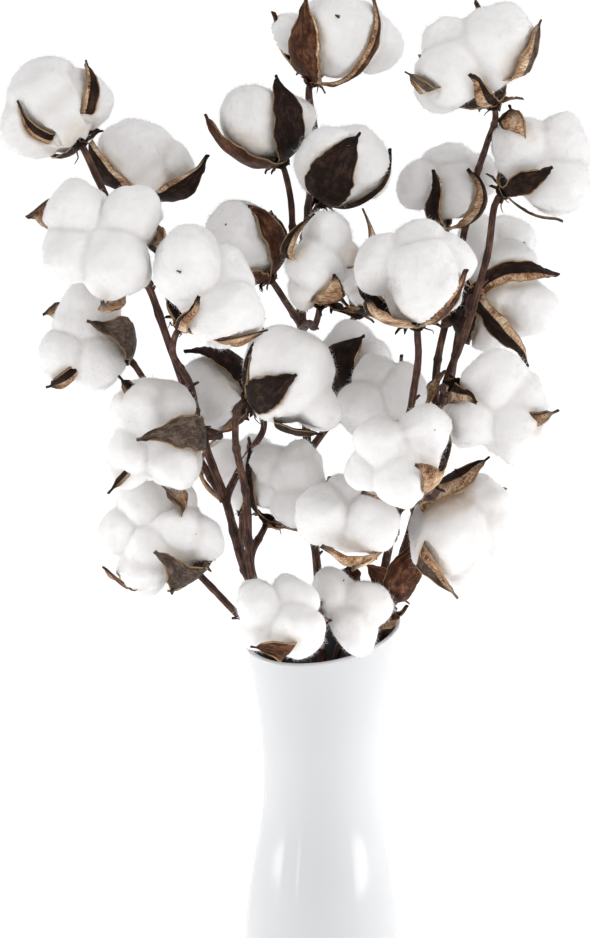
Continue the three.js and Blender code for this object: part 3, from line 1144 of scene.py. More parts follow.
class ValveShape:
    """The surface of one valve, on the round ball that the flattened boll comes from.

    The middle line has so many points. In shares of the length, opens is where the valve starts to
    spread, hook where its tip starts to bend and blade_end where its blade ends. The half widths at
    the hub and of the spine, the depth of a covered strand and the widest lip are in shares of the
    boll's size. Roll is how far a lip turns over, in radians.
    """

    points_of_line: int = 41
    opens: float = 0.25
    hook: float = 0.84
    blade_end: float = 0.965
    hub_width: float = 0.16
    spine_width: float = 0.03
    strand_depth: float = 0.64
    widest_lip: float = 0.085
    roll: float = 2.3

    def __init__(
        self, valve: Valve, tip: np.ndarray, middle: np.ndarray | None, size: float, seed: float
    ) -> None:
        """Lays the valve's middle line from the hub to its tip.

        Args:
            valve: How the valve looks.
            tip: The tip's place on the round ball, in shares of the size.
            middle: The place of the line's middle there, or nothing for the shortest way.
            size: The boll's size in metres.
            seed: What makes the valve's wrinkles its own.
        """
        self.valve = valve
        self.size = size
        self.seed = seed
        self.end = float(np.linalg.norm(tip))
        ahead = tip / self.end
        middle = unit(HUB + ahead) if middle is None else unit(middle)
        t = np.linspace(0, 1, self.points_of_line)[:, None]
        line = unit((1 - t) * (1 - 2 * t) * HUB + 4 * t * (1 - t) * middle + t * (2 * t - 1) * ahead)
        walked = np.concatenate([[0], np.cumsum(np.linalg.norm(np.diff(line, axis=0), axis=1))])
        self.reach = float(walked[-1])
        self.along = walked / self.reach
        sides = unit(np.cross(line, np.gradient(line, axis=0)))
        sway = 0.10 * noise_rows(self.along * 2.4, np.zeros(self.points_of_line), seed)
        sway *= np.sin(math.pi * self.along)
        sway += (0.07 if seed % 1 > 0.5 else -0.07) * smoothstep(self.hook, 1.0, self.along)
        self.line = line = unit(line + sway[:, None] * sides)
        self.sides = unit(np.cross(line, np.gradient(line, axis=0)))

    def half_width(self, along: np.ndarray) -> np.ndarray:
        """Finds how wide the valve is.

        Args:
            along: Shares of the valve's length.

        Returns:
            Half the width at each, in shares of the size.
        """
        share = np.clip(along / self.blade_end, 1e-4, 1.0)
        power = math.log(0.5) / math.log(self.valve.belly)
        leaf = np.sin(math.pi * share**power) ** 0.66 * (1 - 0.18 * smoothstep(0.66, 0.9, share))
        neck = self.hub_width * (1 - share) ** 2
        spine = self.spine_width * (1.0 - 0.8 * np.clip((along - 0.85) / 0.15, 0, 1))
        base = self.valve.base
        seen = smoothstep(base - 0.06, base + 0.08, along) if base > 0 else 1.0
        return np.maximum(np.maximum(self.valve.width * leaf, neck) * seen, spine)

    def distance(self, along: np.ndarray, across: np.ndarray) -> np.ndarray:
        """Finds how far the valve stands from the boll's middle.

        Args:
            along: Shares of the valve's length.
            across: Shares of half its width, from -1 to 1.

        Returns:
            The distance at each, in shares of the size.
        """
        opened = (self.end - 1.0) * np.clip((along - self.opens) / (1 - self.opens), 0, 1) ** 1.6
        hooked = 0.09 * np.clip((along - self.hook) / 0.16, 0, 1) ** 2
        base = self.valve.base
        covered = base > 0
        cupped = (0.0 if covered else 0.05) * across**2 * np.clip(along * 3, 0, 1)
        sunk = self.strand_depth * (1 - smoothstep(base - 0.06, base + 0.12, along)) if covered else 0.0
        return self.valve.hug + opened + hooked - cupped - sunk

    def _at(self, rows: np.ndarray, along: np.ndarray) -> np.ndarray:
        """Returns the line's directions in these rows at shares of its length."""
        return unit(np.stack([np.interp(along, self.along, rows[:, k]) for k in range(3)], axis=-1))

    def points(self, along: np.ndarray, across: np.ndarray, flat: float = 0.6) -> np.ndarray:
        """Returns the valve's outside in the boll's frame.

        Args:
            along: The share of the length from the hub to the tip.
            across: The share of half the width, from -1 to 1.
            flat: The share of the columns that lies between the two rolled lips.

        Returns:
            One row a point.
        """
        v = self.valve
        out, side = self._at(self.line, along), self._at(self.sides, along)
        wave = noise_rows(along * 3.0, across * 1.3, self.seed)
        crinkle = noise_rows(along * 8.0, across * 3.5, self.seed + 7)
        ragged = 1 + 0.20 * noise_rows(along * 5.0, np.sign(across), self.seed + 3)
        ragged += 0.13 * noise_rows(along * 16.0, np.sign(across) * 2, self.seed + 5)
        half = self.half_width(along) * ragged
        grown = smoothstep(0.04, 0.3, along)
        middle = np.clip(across, -flat, flat) / flat
        beyond = np.clip(np.abs(across) - flat, 0, None) / (1 - flat)
        roll = self.roll * beyond * v.lip * grown * smoothstep(0.0, 0.12, 1.0 - along) + 1e-4
        widest = np.minimum(half * 0.5, self.widest_lip)
        lip = widest * beyond
        sideways = (half - widest * 0.6) * middle
        sideways = sideways + np.sign(across) * lip * np.sin(roll) / roll
        outwards = lip * (1 - np.cos(roll)) / roll
        distance = self.distance(along, across) + (0.032 * wave + 0.016 * crinkle) * grown
        tilt = math.radians(v.tilt) * smoothstep(0.1, 0.6, along) * (1 - smoothstep(0.8, 1.0, along))
        angle = sideways * np.cos(tilt) / distance
        direction = out * np.cos(angle)[:, None] + side * np.sin(angle)[:, None]
        spots = direction * (distance + outwards + sideways * np.sin(tilt))[:, None] * self.size
        spots[:, 2] *= FLATNESS
        return spots

    def seen_from(self, direction: np.ndarray) -> tuple[np.ndarray, np.ndarray]:
        """Finds what part of the valve lies over each part of the cotton.

        Args:
            direction: Unit vectors from the boll's middle, one row each.

        Returns:
            The shares along and across the valve at which they point.
        """
        nearest = np.argmax(direction @ self.line.T, axis=1)
        along = self.along[nearest]
        over_side = np.einsum("ij,ij->i", direction, self.sides[nearest])
        over_line = np.einsum("ij,ij->i", direction, self.line[nearest])
        sideways = np.arctan2(over_side, over_line)
        ahead = np.arccos(np.clip(over_line, -1, 1))
        past_end = np.maximum(ahead - np.abs(sideways) - 0.05, 0) / self.reach
        along = along + np.where(nearest == len(self.line) - 1, past_end, 0)
        along = along - np.where(nearest == 0, past_end, 0)
        return along, sideways / np.maximum(self.half_width(np.clip(along, 0, 1)), 0.08)


def noise_rows(x: np.ndarray, y: np.ndarray, seed: float) -> np.ndarray:
    """Returns smooth noise on a flat sheet, from about -1 to 1."""
    return relief(np.stack([x, y, np.zeros_like(x)], axis=-1), 1.0, seed)


@dataclass
class Bur:
    """The dry case of a boll: its valves, the shrivelled sepals below them and the hub."""

    boll: Boll
    place: BollFrame
    draw: random.Random
    shapes: list[ValveShape] = field(default_factory=list)
    thickness: float = 0.8 * MM
    sepals: int = 3
    sepal_thickness: float = 0.5 * MM
    hub_size: Point = (4.6 * MM, 4.6 * MM, 3.6 * MM)
    hub_drop: float = 1.4 * MM
    hub_ribs: int = 8

    def settle(self) -> None:
        """Chooses the shape of every valve: the ones that are seen, and the rest in the gaps between."""
        for valve in self.boll.valves:
            middle = valve.middle()
            via = None if middle is None else self.place.turned(middle)
            self._add(valve, self.place.turned(valve.tip()), via)
        while len(self.shapes) < self.boll.count:
            around = self._widest_gap()
            climb = math.radians(self.draw.uniform(85, 110))
            tip = from_below(climb, around)
            # On the side that is seen from the front, a spare flap stays close to the hub.
            toward_viewer = (tip @ self.place.axes) @ RIGHT_UP_NEAR[2]
            if toward_viewer > 0.3:
                tip = from_below(climb * 0.5, around)
            valve = Valve(0, 0, width=self.draw.uniform(0.24, 0.38), bare=self.draw.uniform(-0.4, 0.4),
                          hug=self.draw.uniform(0.98, 1.03))
            self._add(valve, tip * self.draw.uniform(1.0, 1.15))

    def _add(self, valve: Valve, tip: np.ndarray, middle: np.ndarray | None = None) -> None:
        """Adds one valve, with its tip and its middle there."""
        self.shapes.append(ValveShape(valve, tip, middle, self.boll.radius, self.draw.uniform(0, 99)))

    def _widest_gap(self) -> float:
        """Finds where the next valve has most room.

        Returns:
            The angle round the boll that is farthest from every valve so far.
        """
        near_hub = ValveShape.points_of_line // 4
        ways = [shape.line[near_hub] for shape in self.shapes]
        taken = [math.atan2(way[1], way[0]) for way in ways]
        angles = [math.radians(k) for k in range(0, 360, 10)]
        if not taken:
            return angles[0]
        return max(angles, key=lambda a: min(abs((a - t + math.pi) % FULL_TURN - math.pi) for t in taken))

    def _sepals(self) -> list[ValveShape]:
        """Shapes the small dry sepals round the hub.

        Returns:
            Their shapes.
        """
        made = []
        for _ in range(self.sepals):
            sepal = Valve(0, 0, width=self.draw.uniform(0.08, 0.14), hug=1.06, lip=0.6)
            around, climb = self.draw.uniform(0, FULL_TURN), math.radians(self.draw.uniform(14, 28))
            tip = from_below(climb, around) * self.draw.uniform(1.05, 1.2)
            made.append(ValveShape(sepal, tip, None, self.boll.radius, self.draw.uniform(0, 99)))
        return made

    def _sheet(self, template: bpy.types.Object, shape: ValveShape, thickness: float,
               skin: int) -> bpy.types.Object:
        """Shapes one flap from a copy of a flat sheet and gives it its thickness.

        Args:
            template: The flat sheet.
            shape: The flap's shape.
            thickness: How thick it is.
            skin: The number of the material of its outside.

        Returns:
            The flap.
        """
        flap = copied(template)
        flat = corners(template)
        across, along = flat[:, 0] * 2, flat[:, 1] + 0.5
        place(flap, shape.points(along, across))
        wide, length = shape.valve.width * shape.size, shape.size * shape.reach
        grain = np.stack([across * wide, np.full_like(across, shape.seed * MM), along * length], axis=-1)
        paint(flap, "grain", grain)
        paint(flap, "across", across)
        paint(flap, "along", along)
        bare = shape.valve.bare
        edge = (across + 1) / 2 if bare > 0 else (1 - across) / 2
        paint(flap, "bare", smoothstep(-0.05, 0.05, abs(bare) - edge) * (bare != 0))
        inside = len(HUSKS)
        for face in flap.data.polygons:
            face.material_index = skin
        modify(flap, "SOLIDIFY", thickness=thickness, offset=-1.0, material_offset=inside - skin,
               material_offset_rim=inside - skin, use_even_offset=False)
        return flap

    def build(self, sheets: Sheets, finishes: Finishes) -> bpy.types.Object:
        """Builds and dresses the bur.

        Args:
            sheets: The flat sheets that the flaps are shaped from.
            finishes: The object's materials.

        Returns:
            The finished piece.
        """
        tones = list(HUSKS)
        flaps = []
        for shape in self.shapes:
            skin = tones.index(shape.valve.tone or self.boll.tone)
            flaps.append(self._sheet(sheets.valve, shape, self.thickness, skin))
        for shape in self._sepals():
            skin = tones.index(self.boll.tone)
            flaps.append(self._sheet(sheets.sepal, shape, self.sepal_thickness, skin))
        flaps.append(self._hub())
        for flap in flaps:
            skins = np.array([face.material_index for face in flap.data.polygons])
            dress(flap, (*finishes.husks.values(), finishes.inside))
            flap.data.polygons.foreach_set("material_index", skins)
        bur = joined(f"bur_{self.boll.name}", flaps)
        place(bur, self.place.outwards(corners(bur)))
        return bur

    def _hub(self) -> bpy.types.Object:
        """Shapes the knob in which the valves meet the stem.

        Returns:
            The knob, in the boll's frame.
        """
        deselect()
        height = self.boll.radius * FLATNESS + self.hub_drop
        bpy.ops.mesh.primitive_uv_sphere_add(segments=16, ring_count=10, radius=1.0,
                                             location=(0, 0, -height), scale=self.hub_size)
        hub = bpy.context.active_object
        bpy.ops.object.transform_apply(location=True, rotation=True, scale=True)
        points = corners(hub)
        ribs = 1 + 0.12 * np.cos(np.arctan2(points[:, 1], points[:, 0]) * self.hub_ribs)
        points[:, :2] *= ribs[:, None]
        points += 0.5 * MM * relief(points, 2.5 * MM, self.draw.uniform(0, 99))[:, None] * unit(points)
        place(hub, points)
        paint(hub, "grain", points)
        for name in ("across", "along", "bare"):
            paint(hub, name, np.zeros(len(points)))
        return hub


@dataclass
class Bract:
    """Two dry leaf-like flaps that clasp the right stalk above the vase's rim."""

    middle: Point = (42.0, -8.0, 280.0)
    size: float = 22.0

    def build(self, sheets: Sheets, finishes: Finishes) -> None:
        """Builds, dresses and fits the bract.

        Args:
            sheets: The flat sheets that the flaps are shaped from.
            finishes: The object's materials.
        """
        boll = Boll("bract", self.size, 90, 85, (), Tone.RUST, count=2, valves=(
            Valve(-0.7, 0.1, 0.42, 0.6, via=(-0.22, -0.4), bare=0.0, lip=0.4, belly=0.6),
            Valve(0.66, 0.74, 0.48, 0.35, via=(0.28, -0.1), bare=0.0, lip=0.4, belly=0.6),
        ))
        bur = Bur(boll, BollFrame(boll, np.array(self.middle) * MM), random.Random(boll.name))
        bur.settle()
        fit(bur.build(sheets, finishes), "bark", "stalk_right")


# ---------- The cotton ----------


@dataclass
class Lint:
    """The cotton of a boll: soft locks that swell out between the valves of the bur.

    Under a valve the cotton lies below the wall, whose thickness is given, by the slack, which
    leaves room for the valve's waves, and by the margin. The core is in shares of the boll's size.
    """

    boll: Boll
    place: BollFrame
    shapes: list[ValveShape]
    draw: random.Random
    voxel: float = 1.62 * MM
    smoothing: int = 22
    thickness: float = 0.8 * MM
    slack: float = 1.0 * MM
    margin: float = 0.4 * MM
    core: float = 0.66
    crease_width: float = 4.5 * MM
    drift: float = 4.5 * MM

    def _balls(self) -> list[tuple[np.ndarray, float]]:
        """Lists the balls that the cotton starts from.

        Returns:
            The middle and radius of the core, of each lock and of its twin at the back.
        """
        size = self.boll.radius
        balls = [(self.place.middle, self.core * size)]
        for lock in self.boll.locks:
            radius = lock.size * size * self.draw.uniform(1.03, 1.12)
            balls.append((self.place.middle + lock.middle() * size, radius))
            if lock.near > 0.1:
                balls.append((self.place.middle + lock.middle(-1.0) * size, radius * 0.95))
        return balls

    def _mesh(self, balls: list[tuple[np.ndarray, float]]) -> bpy.types.Object:
        """Makes one mesh of overlapping balls, each with a smaller swelling.

        Args:
            balls: The middle and radius of each, the core first.

        Returns:
            The mesh object.
        """
        deselect()
        core, radius = balls[0]
        bpy.ops.mesh.primitive_uv_sphere_add(segments=24, ring_count=16, radius=radius,
                                             location=tuple(core))
        lint = bpy.context.active_object
        bpy.ops.object.transform_apply(location=True, rotation=True, scale=True)
        bpy.ops.object.mode_set(mode="EDIT")
        for middle, radius in balls[1:]:
            self._ball(middle, radius, 20)
            way = unit(np.array([self.draw.gauss(0, 1) for _ in range(3)]))
            small = radius * self.draw.uniform(0.6, 0.75)
            self._ball(middle + way * (radius * 1.12 - small), small, 16)
        bpy.ops.object.mode_set(mode="OBJECT")
        return lint

    def _ball(self, middle: np.ndarray, radius: float, segments: int) -> None:
        """Adds one slightly uneven ball to the mesh in edit mode.

        Args:
            middle: Its middle.
            radius: Its mean radius.
            segments: How many faces it has round it.
        """
        uneven = tuple(radius * self.draw.uniform(0.92, 1.08) for _ in range(3))
        bpy.ops.mesh.primitive_uv_sphere_add(segments=segments, ring_count=segments * 2 // 3, radius=1.0,
                                             location=tuple(middle), scale=uneven)

    def _creases(self, points: np.ndarray, balls: list[tuple[np.ndarray, float]]) -> np.ndarray:
        """Finds the creases between the locks.

        Args:
            points: The cotton's vertices.
            balls: The middle and radius of each ball, the core first.

        Returns:
            How deep in a crease each vertex lies, from 0 to 1.
        """
        if len(balls) < 3:
            return np.zeros(len(points))
        gaps = [np.linalg.norm(points - middle, axis=1) - radius for middle, radius in balls[1:]]
        nearest, second = np.sort(np.stack(gaps), axis=0)[:2]
        return 1 - smoothstep(0.0, self.crease_width, second - nearest)

    def _press(self, lint: bpy.types.Object) -> np.ndarray:
        """Presses the cotton in under the valves.

        Args:
            lint: The cotton.

        Returns:
            How much cream each vertex takes by the hub and the valves, for the bur's stain and painted
            shade, from 0 to 1.
        """
        size = self.boll.radius
        points = self.place.inwards(corners(lint))
        points[:, 2] /= FLATNESS
        distance = np.linalg.norm(points, axis=1)
        direction = points / distance[:, None]
        climb = np.arccos(np.clip(direction @ HUB, -1, 1))
        # Cream by the hub and beside the valves, for the bur's stain and painted shade.
        stain = 1 - smoothstep(0.25, 0.9, climb)
        room = distance.copy()
        for shape in self.shapes:
            along, across = shape.seen_from(direction)
            base = shape.valve.base
            on_valve = (along > base) & (along < 1.06) & (np.abs(across) < 1.5)
            limit = shape.distance(along, np.clip(across, -1, 1)) * size
            limit = limit - self.thickness - self.slack - self.margin
            beside = smoothstep(1.0, 1.5, np.abs(across)) + smoothstep(0.97, 1.06, along)
            limit = limit + size * 0.6 * beside
            if base > 0:
                limit = limit + size * 0.5 * (1 - smoothstep(base, base + 0.12, along))
            room = np.where(on_valve, np.minimum(room, limit), room)
            near = (1 - smoothstep(0.9, 1.8, np.abs(across))) * (1 - smoothstep(0.75, 1.1, along))
            stain = np.maximum(stain, near * smoothstep(base, base + 0.1, along))
        points *= (room / distance)[:, None]
        points[:, 2] *= FLATNESS
        place(lint, self.place.outwards(points))
        return stain

    def build(self, finishes: Finishes) -> bpy.types.Object:
        """Builds and dresses the cotton.

        Args:
            finishes: The object's materials.

        Returns:
            The finished piece.
        """
        balls = self._balls()
        lint = self._mesh(balls)
        lint.name = f"lint_{self.boll.name}"
        modify(lint, "REMESH", mode="VOXEL", voxel_size=self.voxel, use_smooth_shade=True)
        modify(lint, "SMOOTH", factor=0.6, iterations=self.smoothing)
        points = corners(lint)
        creases = self._creases(points, balls)
        drift = np.stack([relief(points, 24 * MM, seed) for seed in (11, 23, 37)], axis=-1)
        place(lint, points + self.drift * drift)
        points = corners(lint)
        swell = 1.2 * relief(points, 13 * MM) + 0.6 * relief(points, 5.5 * MM, 3)
        swell = swell + 0.2 * relief(points, 2.8 * MM, 5)
        place(lint, points + normals(lint) * (swell + 0.8 - creases * 0.7)[:, None] * MM)
        # The crease mask also darkens the colour in the creases, as painted shade.
        paint(lint, "stain", self._press(lint))
        paint(lint, "crease", creases)
        dress(lint, (finishes.lint,))
        return lint


@dataclass
class Wisps:
    """Loose fibres that stand off the cotton, each a thin closed spike of a few faces.

    Short and long are how many there are of each kind, and each kind has its least and greatest
    length.
    """

    lint: bpy.types.Object
    seed: int
    short: int = 2100
    short_length: tuple[float, float] = (1.6 * MM, 4.2 * MM)
    long: int = 150
    long_length: tuple[float, float] = (2.5 * MM, 6.5 * MM)

    def _short(self, rng: np.random.Generator) -> tuple[np.ndarray, list[tuple[int, ...]]]:
        """Grows the short straight fibres.

        Args:
            rng: The source of chance.

        Returns:
            Their vertices and faces.
        """
        root, out, side, other = self._start(rng, self.short)
        length = rng.uniform(*self.short_length, self.short)[:, None]
        lean = rng.uniform(0.5, 2.6, self.short)[:, None]
        tip = root + unit(out + lean * side) * length
        rings = self._ring(root - out * 0.2 * MM, other, out, 0.10 * MM)
        return self._spikes([*rings, tip], [(2, 1, 0), (0, 1, 3), (1, 2, 3), (2, 0, 3)])

    def _long(self, rng: np.random.Generator) -> tuple[np.ndarray, list[tuple[int, ...]]]:
        """Grows the long bent fibres.

        Args:
            rng: The source of chance.

        Returns:
            Their vertices and faces.
        """
        root, out, side, other = self._start(rng, self.long)
        length = rng.uniform(*self.long_length, self.long)[:, None]
        lean = rng.uniform(0.3, 1.4, self.long)[:, None]
        bend = lean + rng.uniform(0.4, 1.8, self.long)[:, None]
        middle = root + unit(out + lean * side) * length * 0.5
        astray = 0.3 * rng.normal(size=(self.long, 3))
        tip = middle + unit(out + bend * side + astray) * length * 0.5
        rings = self._ring(root - out * 0.3 * MM, other, out, 0.07 * MM)
        rings += self._ring(middle, other, out, 0.05 * MM)
        foot = [(2, 1, 0), (0, 1, 4, 3), (1, 2, 5, 4), (2, 0, 3, 5)]
        return self._spikes([*rings, tip], [*foot, (3, 4, 6), (4, 5, 6), (5, 3, 6)])

    @staticmethod
    def _spikes(
        rows: list[np.ndarray], spike: list[tuple[int, ...]]
    ) -> tuple[np.ndarray, list[tuple[int, ...]]]:
        """Puts the corners of many fibres of one kind together.

        Args:
            rows: The places of each corner, one row a fibre.
            spike: The faces of one fibre, by its corners.

        Returns:
            The vertices and faces of all of them.
        """
        each, count = len(rows), len(rows[0])
        faces = [tuple(each * i + k for k in face) for i in range(count) for face in spike]
        return np.stack(rows, axis=1).reshape(-1, 3), faces

    def _start(self, rng: np.random.Generator, count: int) -> tuple[np.ndarray, ...]:
        """Chooses where fibres are rooted.

        Args:
            rng: The source of chance.
            count: How many fibres there are.

        Returns:
            The roots, and the outward and two sideways directions at each.
        """
        points, outward = corners(self.lint), normals(self.lint)
        chosen = rng.choice(len(points), count, replace=False)
        root, out = points[chosen], outward[chosen]
        side = unit(np.cross(out, rng.normal(size=(count, 3))))
        return root, out, side, unit(np.cross(out, side))

    @staticmethod
    def _ring(middle: np.ndarray, one: np.ndarray, two: np.ndarray, radius: float) -> list[np.ndarray]:
        """Returns the three corners round each middle."""
        angles = (0, FULL_TURN / 3, 2 * FULL_TURN / 3)
        return [middle + radius * (one * math.cos(a) + two * math.sin(a)) for a in angles]

    def build(self, name: str, finishes: Finishes) -> bpy.types.Object:
        """Builds and dresses the fibres.

        Args:
            name: The name of the piece.
            finishes: The object's materials.

        Returns:
            The fibres as one piece.
        """
        rng = np.random.default_rng(self.seed)
        short, short_faces = self._short(rng)
        long, long_faces = self._long(rng)
        faces = short_faces + [tuple(k + len(short) for k in face) for face in long_faces]
        wisps = from_points(name, np.vstack([short, long]), [], faces)
        # The fibres get neither the painted crease shade nor the cream tint by the bur.
        zeros = np.zeros(len(short) + len(long))
        paint(wisps, "stain", zeros)
        paint(wisps, "crease", zeros)
        dress(wisps, (finishes.lint,))
        return wisps


# ---------- The stems ----------


class Route:
    """A smooth line through a list of points, measured along its length."""

    def __init__(self, points: np.ndarray, steps: int = 24) -> None:
        """Runs a centripetal Catmull-Rom curve through the points.

        Args:
            points: The points, one row each.
            steps: How many short pieces stand for each stretch.
        """
        ends = [2 * points[0] - points[1], *points, 2 * points[-1] - points[-2]]
        line = [points[0]]
        for p0, p1, p2, p3 in zip(ends, ends[1:], ends[2:], ends[3:]):
            spans = ((p0, p1), (p1, p2), (p2, p3))
            a, b, c = (math.sqrt(max(np.linalg.norm(q - p), 1e-9)) for p, q in spans)
            leave = ((p1 - p0) / a - (p2 - p0) / (a + b) + (p2 - p1) / b) * b
            arrive = ((p2 - p1) / b - (p3 - p1) / (b + c) + (p3 - p2) / c) * b
            for t in np.linspace(0, 1, steps + 1)[1:]:
                line.append((2 * t**3 - 3 * t**2 + 1) * p1 + (t**3 - 2 * t**2 + t) * leave
                            + (3 * t**2 - 2 * t**3) * p2 + (t**3 - t**2) * arrive)
        self.line = np.array(line)
        self.walked = np.concatenate([[0], np.cumsum(np.linalg.norm(np.diff(self.line, axis=0), axis=1))])
        self.length = float(self.walked[-1])

    def at(self, walked: np.ndarray) -> np.ndarray:
        """Returns the points at these distances from the start."""
        return np.stack([np.interp(walked, self.walked, self.line[:, k]) for k in range(3)], axis=-1)

    def rings(self, walked: np.ndarray) -> tuple[np.ndarray, np.ndarray, np.ndarray]:
        """Lays rings round the line.

        Args:
            walked: The rings' distances from the start.

        Returns:
            The middle of each ring, and the two directions that it lies along.
        """
        middles = self.at(walked)
        ahead = unit(self.at(walked + 0.5 * MM) - self.at(walked - 0.5 * MM))
        side = unit(np.cross(ahead[0], [0.31, 0.95, 0.02]))
        first = []
        for direction in ahead:
            side = unit(side - direction * (side @ direction))
            first.append(side)
        first = np.array(first)
        return middles, first, np.cross(ahead, first)


def make_tube(sides: int, rings: int) -> bpy.types.Object:
    """Makes an upright tube, one unit high and one in radius.

    Args:
        sides: How many sides it has.
        rings: How many rings of vertices it has.

    Returns:
        The tube.
    """
    deselect()
    bpy.ops.mesh.primitive_cylinder_add(vertices=sides, radius=1.0, depth=1.0)
    tube = bpy.context.active_object
    bpy.ops.object.mode_set(mode="EDIT")
    bpy.context.tool_settings.mesh_select_mode = (False, True, False)
    bpy.ops.mesh.select_all(action="DESELECT")
    shape = bmesh.from_edit_mesh(tube.data)
    for edge in shape.edges:
        edge.select_set(abs(edge.verts[0].co.z - edge.verts[1].co.z) > 0.5)
    bmesh.update_edit_mesh(tube.data)
    bpy.ops.mesh.subdivide(number_cuts=rings - 2)
    bpy.ops.object.mode_set(mode="OBJECT")
    return tube


@dataclass(frozen=True)
class StemSize:
    """How thick a stem is at its two ends, and how finely it is made.

    The foot and the tip are radii, and the collar is how much thicker it starts, as a share.
    """

    foot: float
    tip: float
    collar: float = 0.0
    sides: int = 12
    step: float = 2.2 * MM


STALK_SIZE = StemSize(3.2 * MM, 2.0 * MM)
TWIG_SIZE = StemSize(2.4 * MM, 1.8 * MM, collar=0.55)
STUB_SIZE = StemSize(1.3 * MM, 0.7 * MM, sides=8, step=1.2 * MM)


@dataclass
class Stem:
    """A stem: a tapered rod with knots, which bends a little at each.

    The knots' swell and the ridges' height are shares of the radius. The ridges twist round the
    stem by so many radians a metre.
    """

    route: Route
    size: StemSize
    draw: random.Random
    knot_length: float = 1.7 * MM
    knot_swell: float = 0.28
    collar_length: float = 3.5 * MM
    sway: float = 0.3 * MM
    ridges: int = 3
    ridge_height: float = 0.06
    twist: float = 40.0

    def build(self) -> bpy.types.Object:
        """Builds the stem.

        Returns:
            The stem, not dressed yet.
        """
        size, route = self.size, self.route
        tube = make_tube(size.sides, max(4, round(route.length / size.step)))
        flat = corners(tube)
        walked = (flat[:, 2] + 0.5) * route.length
        levels, which = np.unique(np.round(walked, 7), return_inverse=True)
        middles, first, second = route.rings(levels)
        knots = self._knots()
        knotted = np.zeros_like(levels)
        for knot in knots:
            knotted = np.maximum(knotted, np.exp(-(((levels - knot) / self.knot_length) ** 2)))
        radius = size.foot + (size.tip - size.foot) * (levels / route.length)
        radius = radius * (1 + self.knot_swell * knotted)
        radius = radius * (1 + size.collar * np.exp(-levels / self.collar_length))
        seed = self.draw.uniform(0, 99)
        radius = radius * (1 + 0.07 * relief(middles, 6 * MM, seed))
        phase = np.interp(levels, [0, *knots, route.length], np.arange(len(knots) + 2) * math.pi)
        sway = self.sway * np.sin(phase)
        sway = sway * smoothstep(0, 6 * MM, levels) * smoothstep(0, 6 * MM, route.length - levels)
        middles = middles + first * sway[:, None]
        turn = self.ridges * np.arctan2(flat[:, 1], flat[:, 0]) + self.twist * walked
        reach = (radius[which] * (1 + self.ridge_height * np.cos(turn)))[:, None]
        around = first[which] * flat[:, :1] + second[which] * flat[:, 1:2]
        place(tube, middles[which] + reach * around)
        grain = np.stack([flat[:, 0] * size.foot, flat[:, 1] * size.foot, walked + seed], axis=-1)
        paint(tube, "grain", grain)
        paint(tube, "knot", knotted[which])
        return tube

    def _knots(self) -> list[float]:
        """Chooses where the knots are.

        Returns:
            How far along the stem each lies.
        """
        knots, walked = [], self.draw.uniform(12, 30) * MM
        while walked < self.route.length - 10 * MM:
            knots.append(walked)
            walked += self.draw.uniform(24, 46) * MM
        return knots


def make_twist(start: np.ndarray, way: np.ndarray, length: float, radius: float,
               draw: random.Random) -> bpy.types.Object:
    """Makes a thin dry curl.

    Args:
        start: Where it begins.
        way: The way it sets out.
        length: Its length.
        radius: Its radius at the start.
        draw: The source of chance.

    Returns:
        The curl.
    """
    bends = 4
    droop = np.array([0, 0, 0.25])
    points = [start]
    for _ in range(bends):
        stray = np.array([draw.gauss(0, 1) for _ in range(3)]) * 0.75
        way = unit(way + stray - droop)
        points.append(points[-1] + way * length / bends)
    size = StemSize(radius, 0.35 * radius, sides=6, step=0.9 * MM)
    return Stem(Route(np.array(points), 8), size, draw).build()


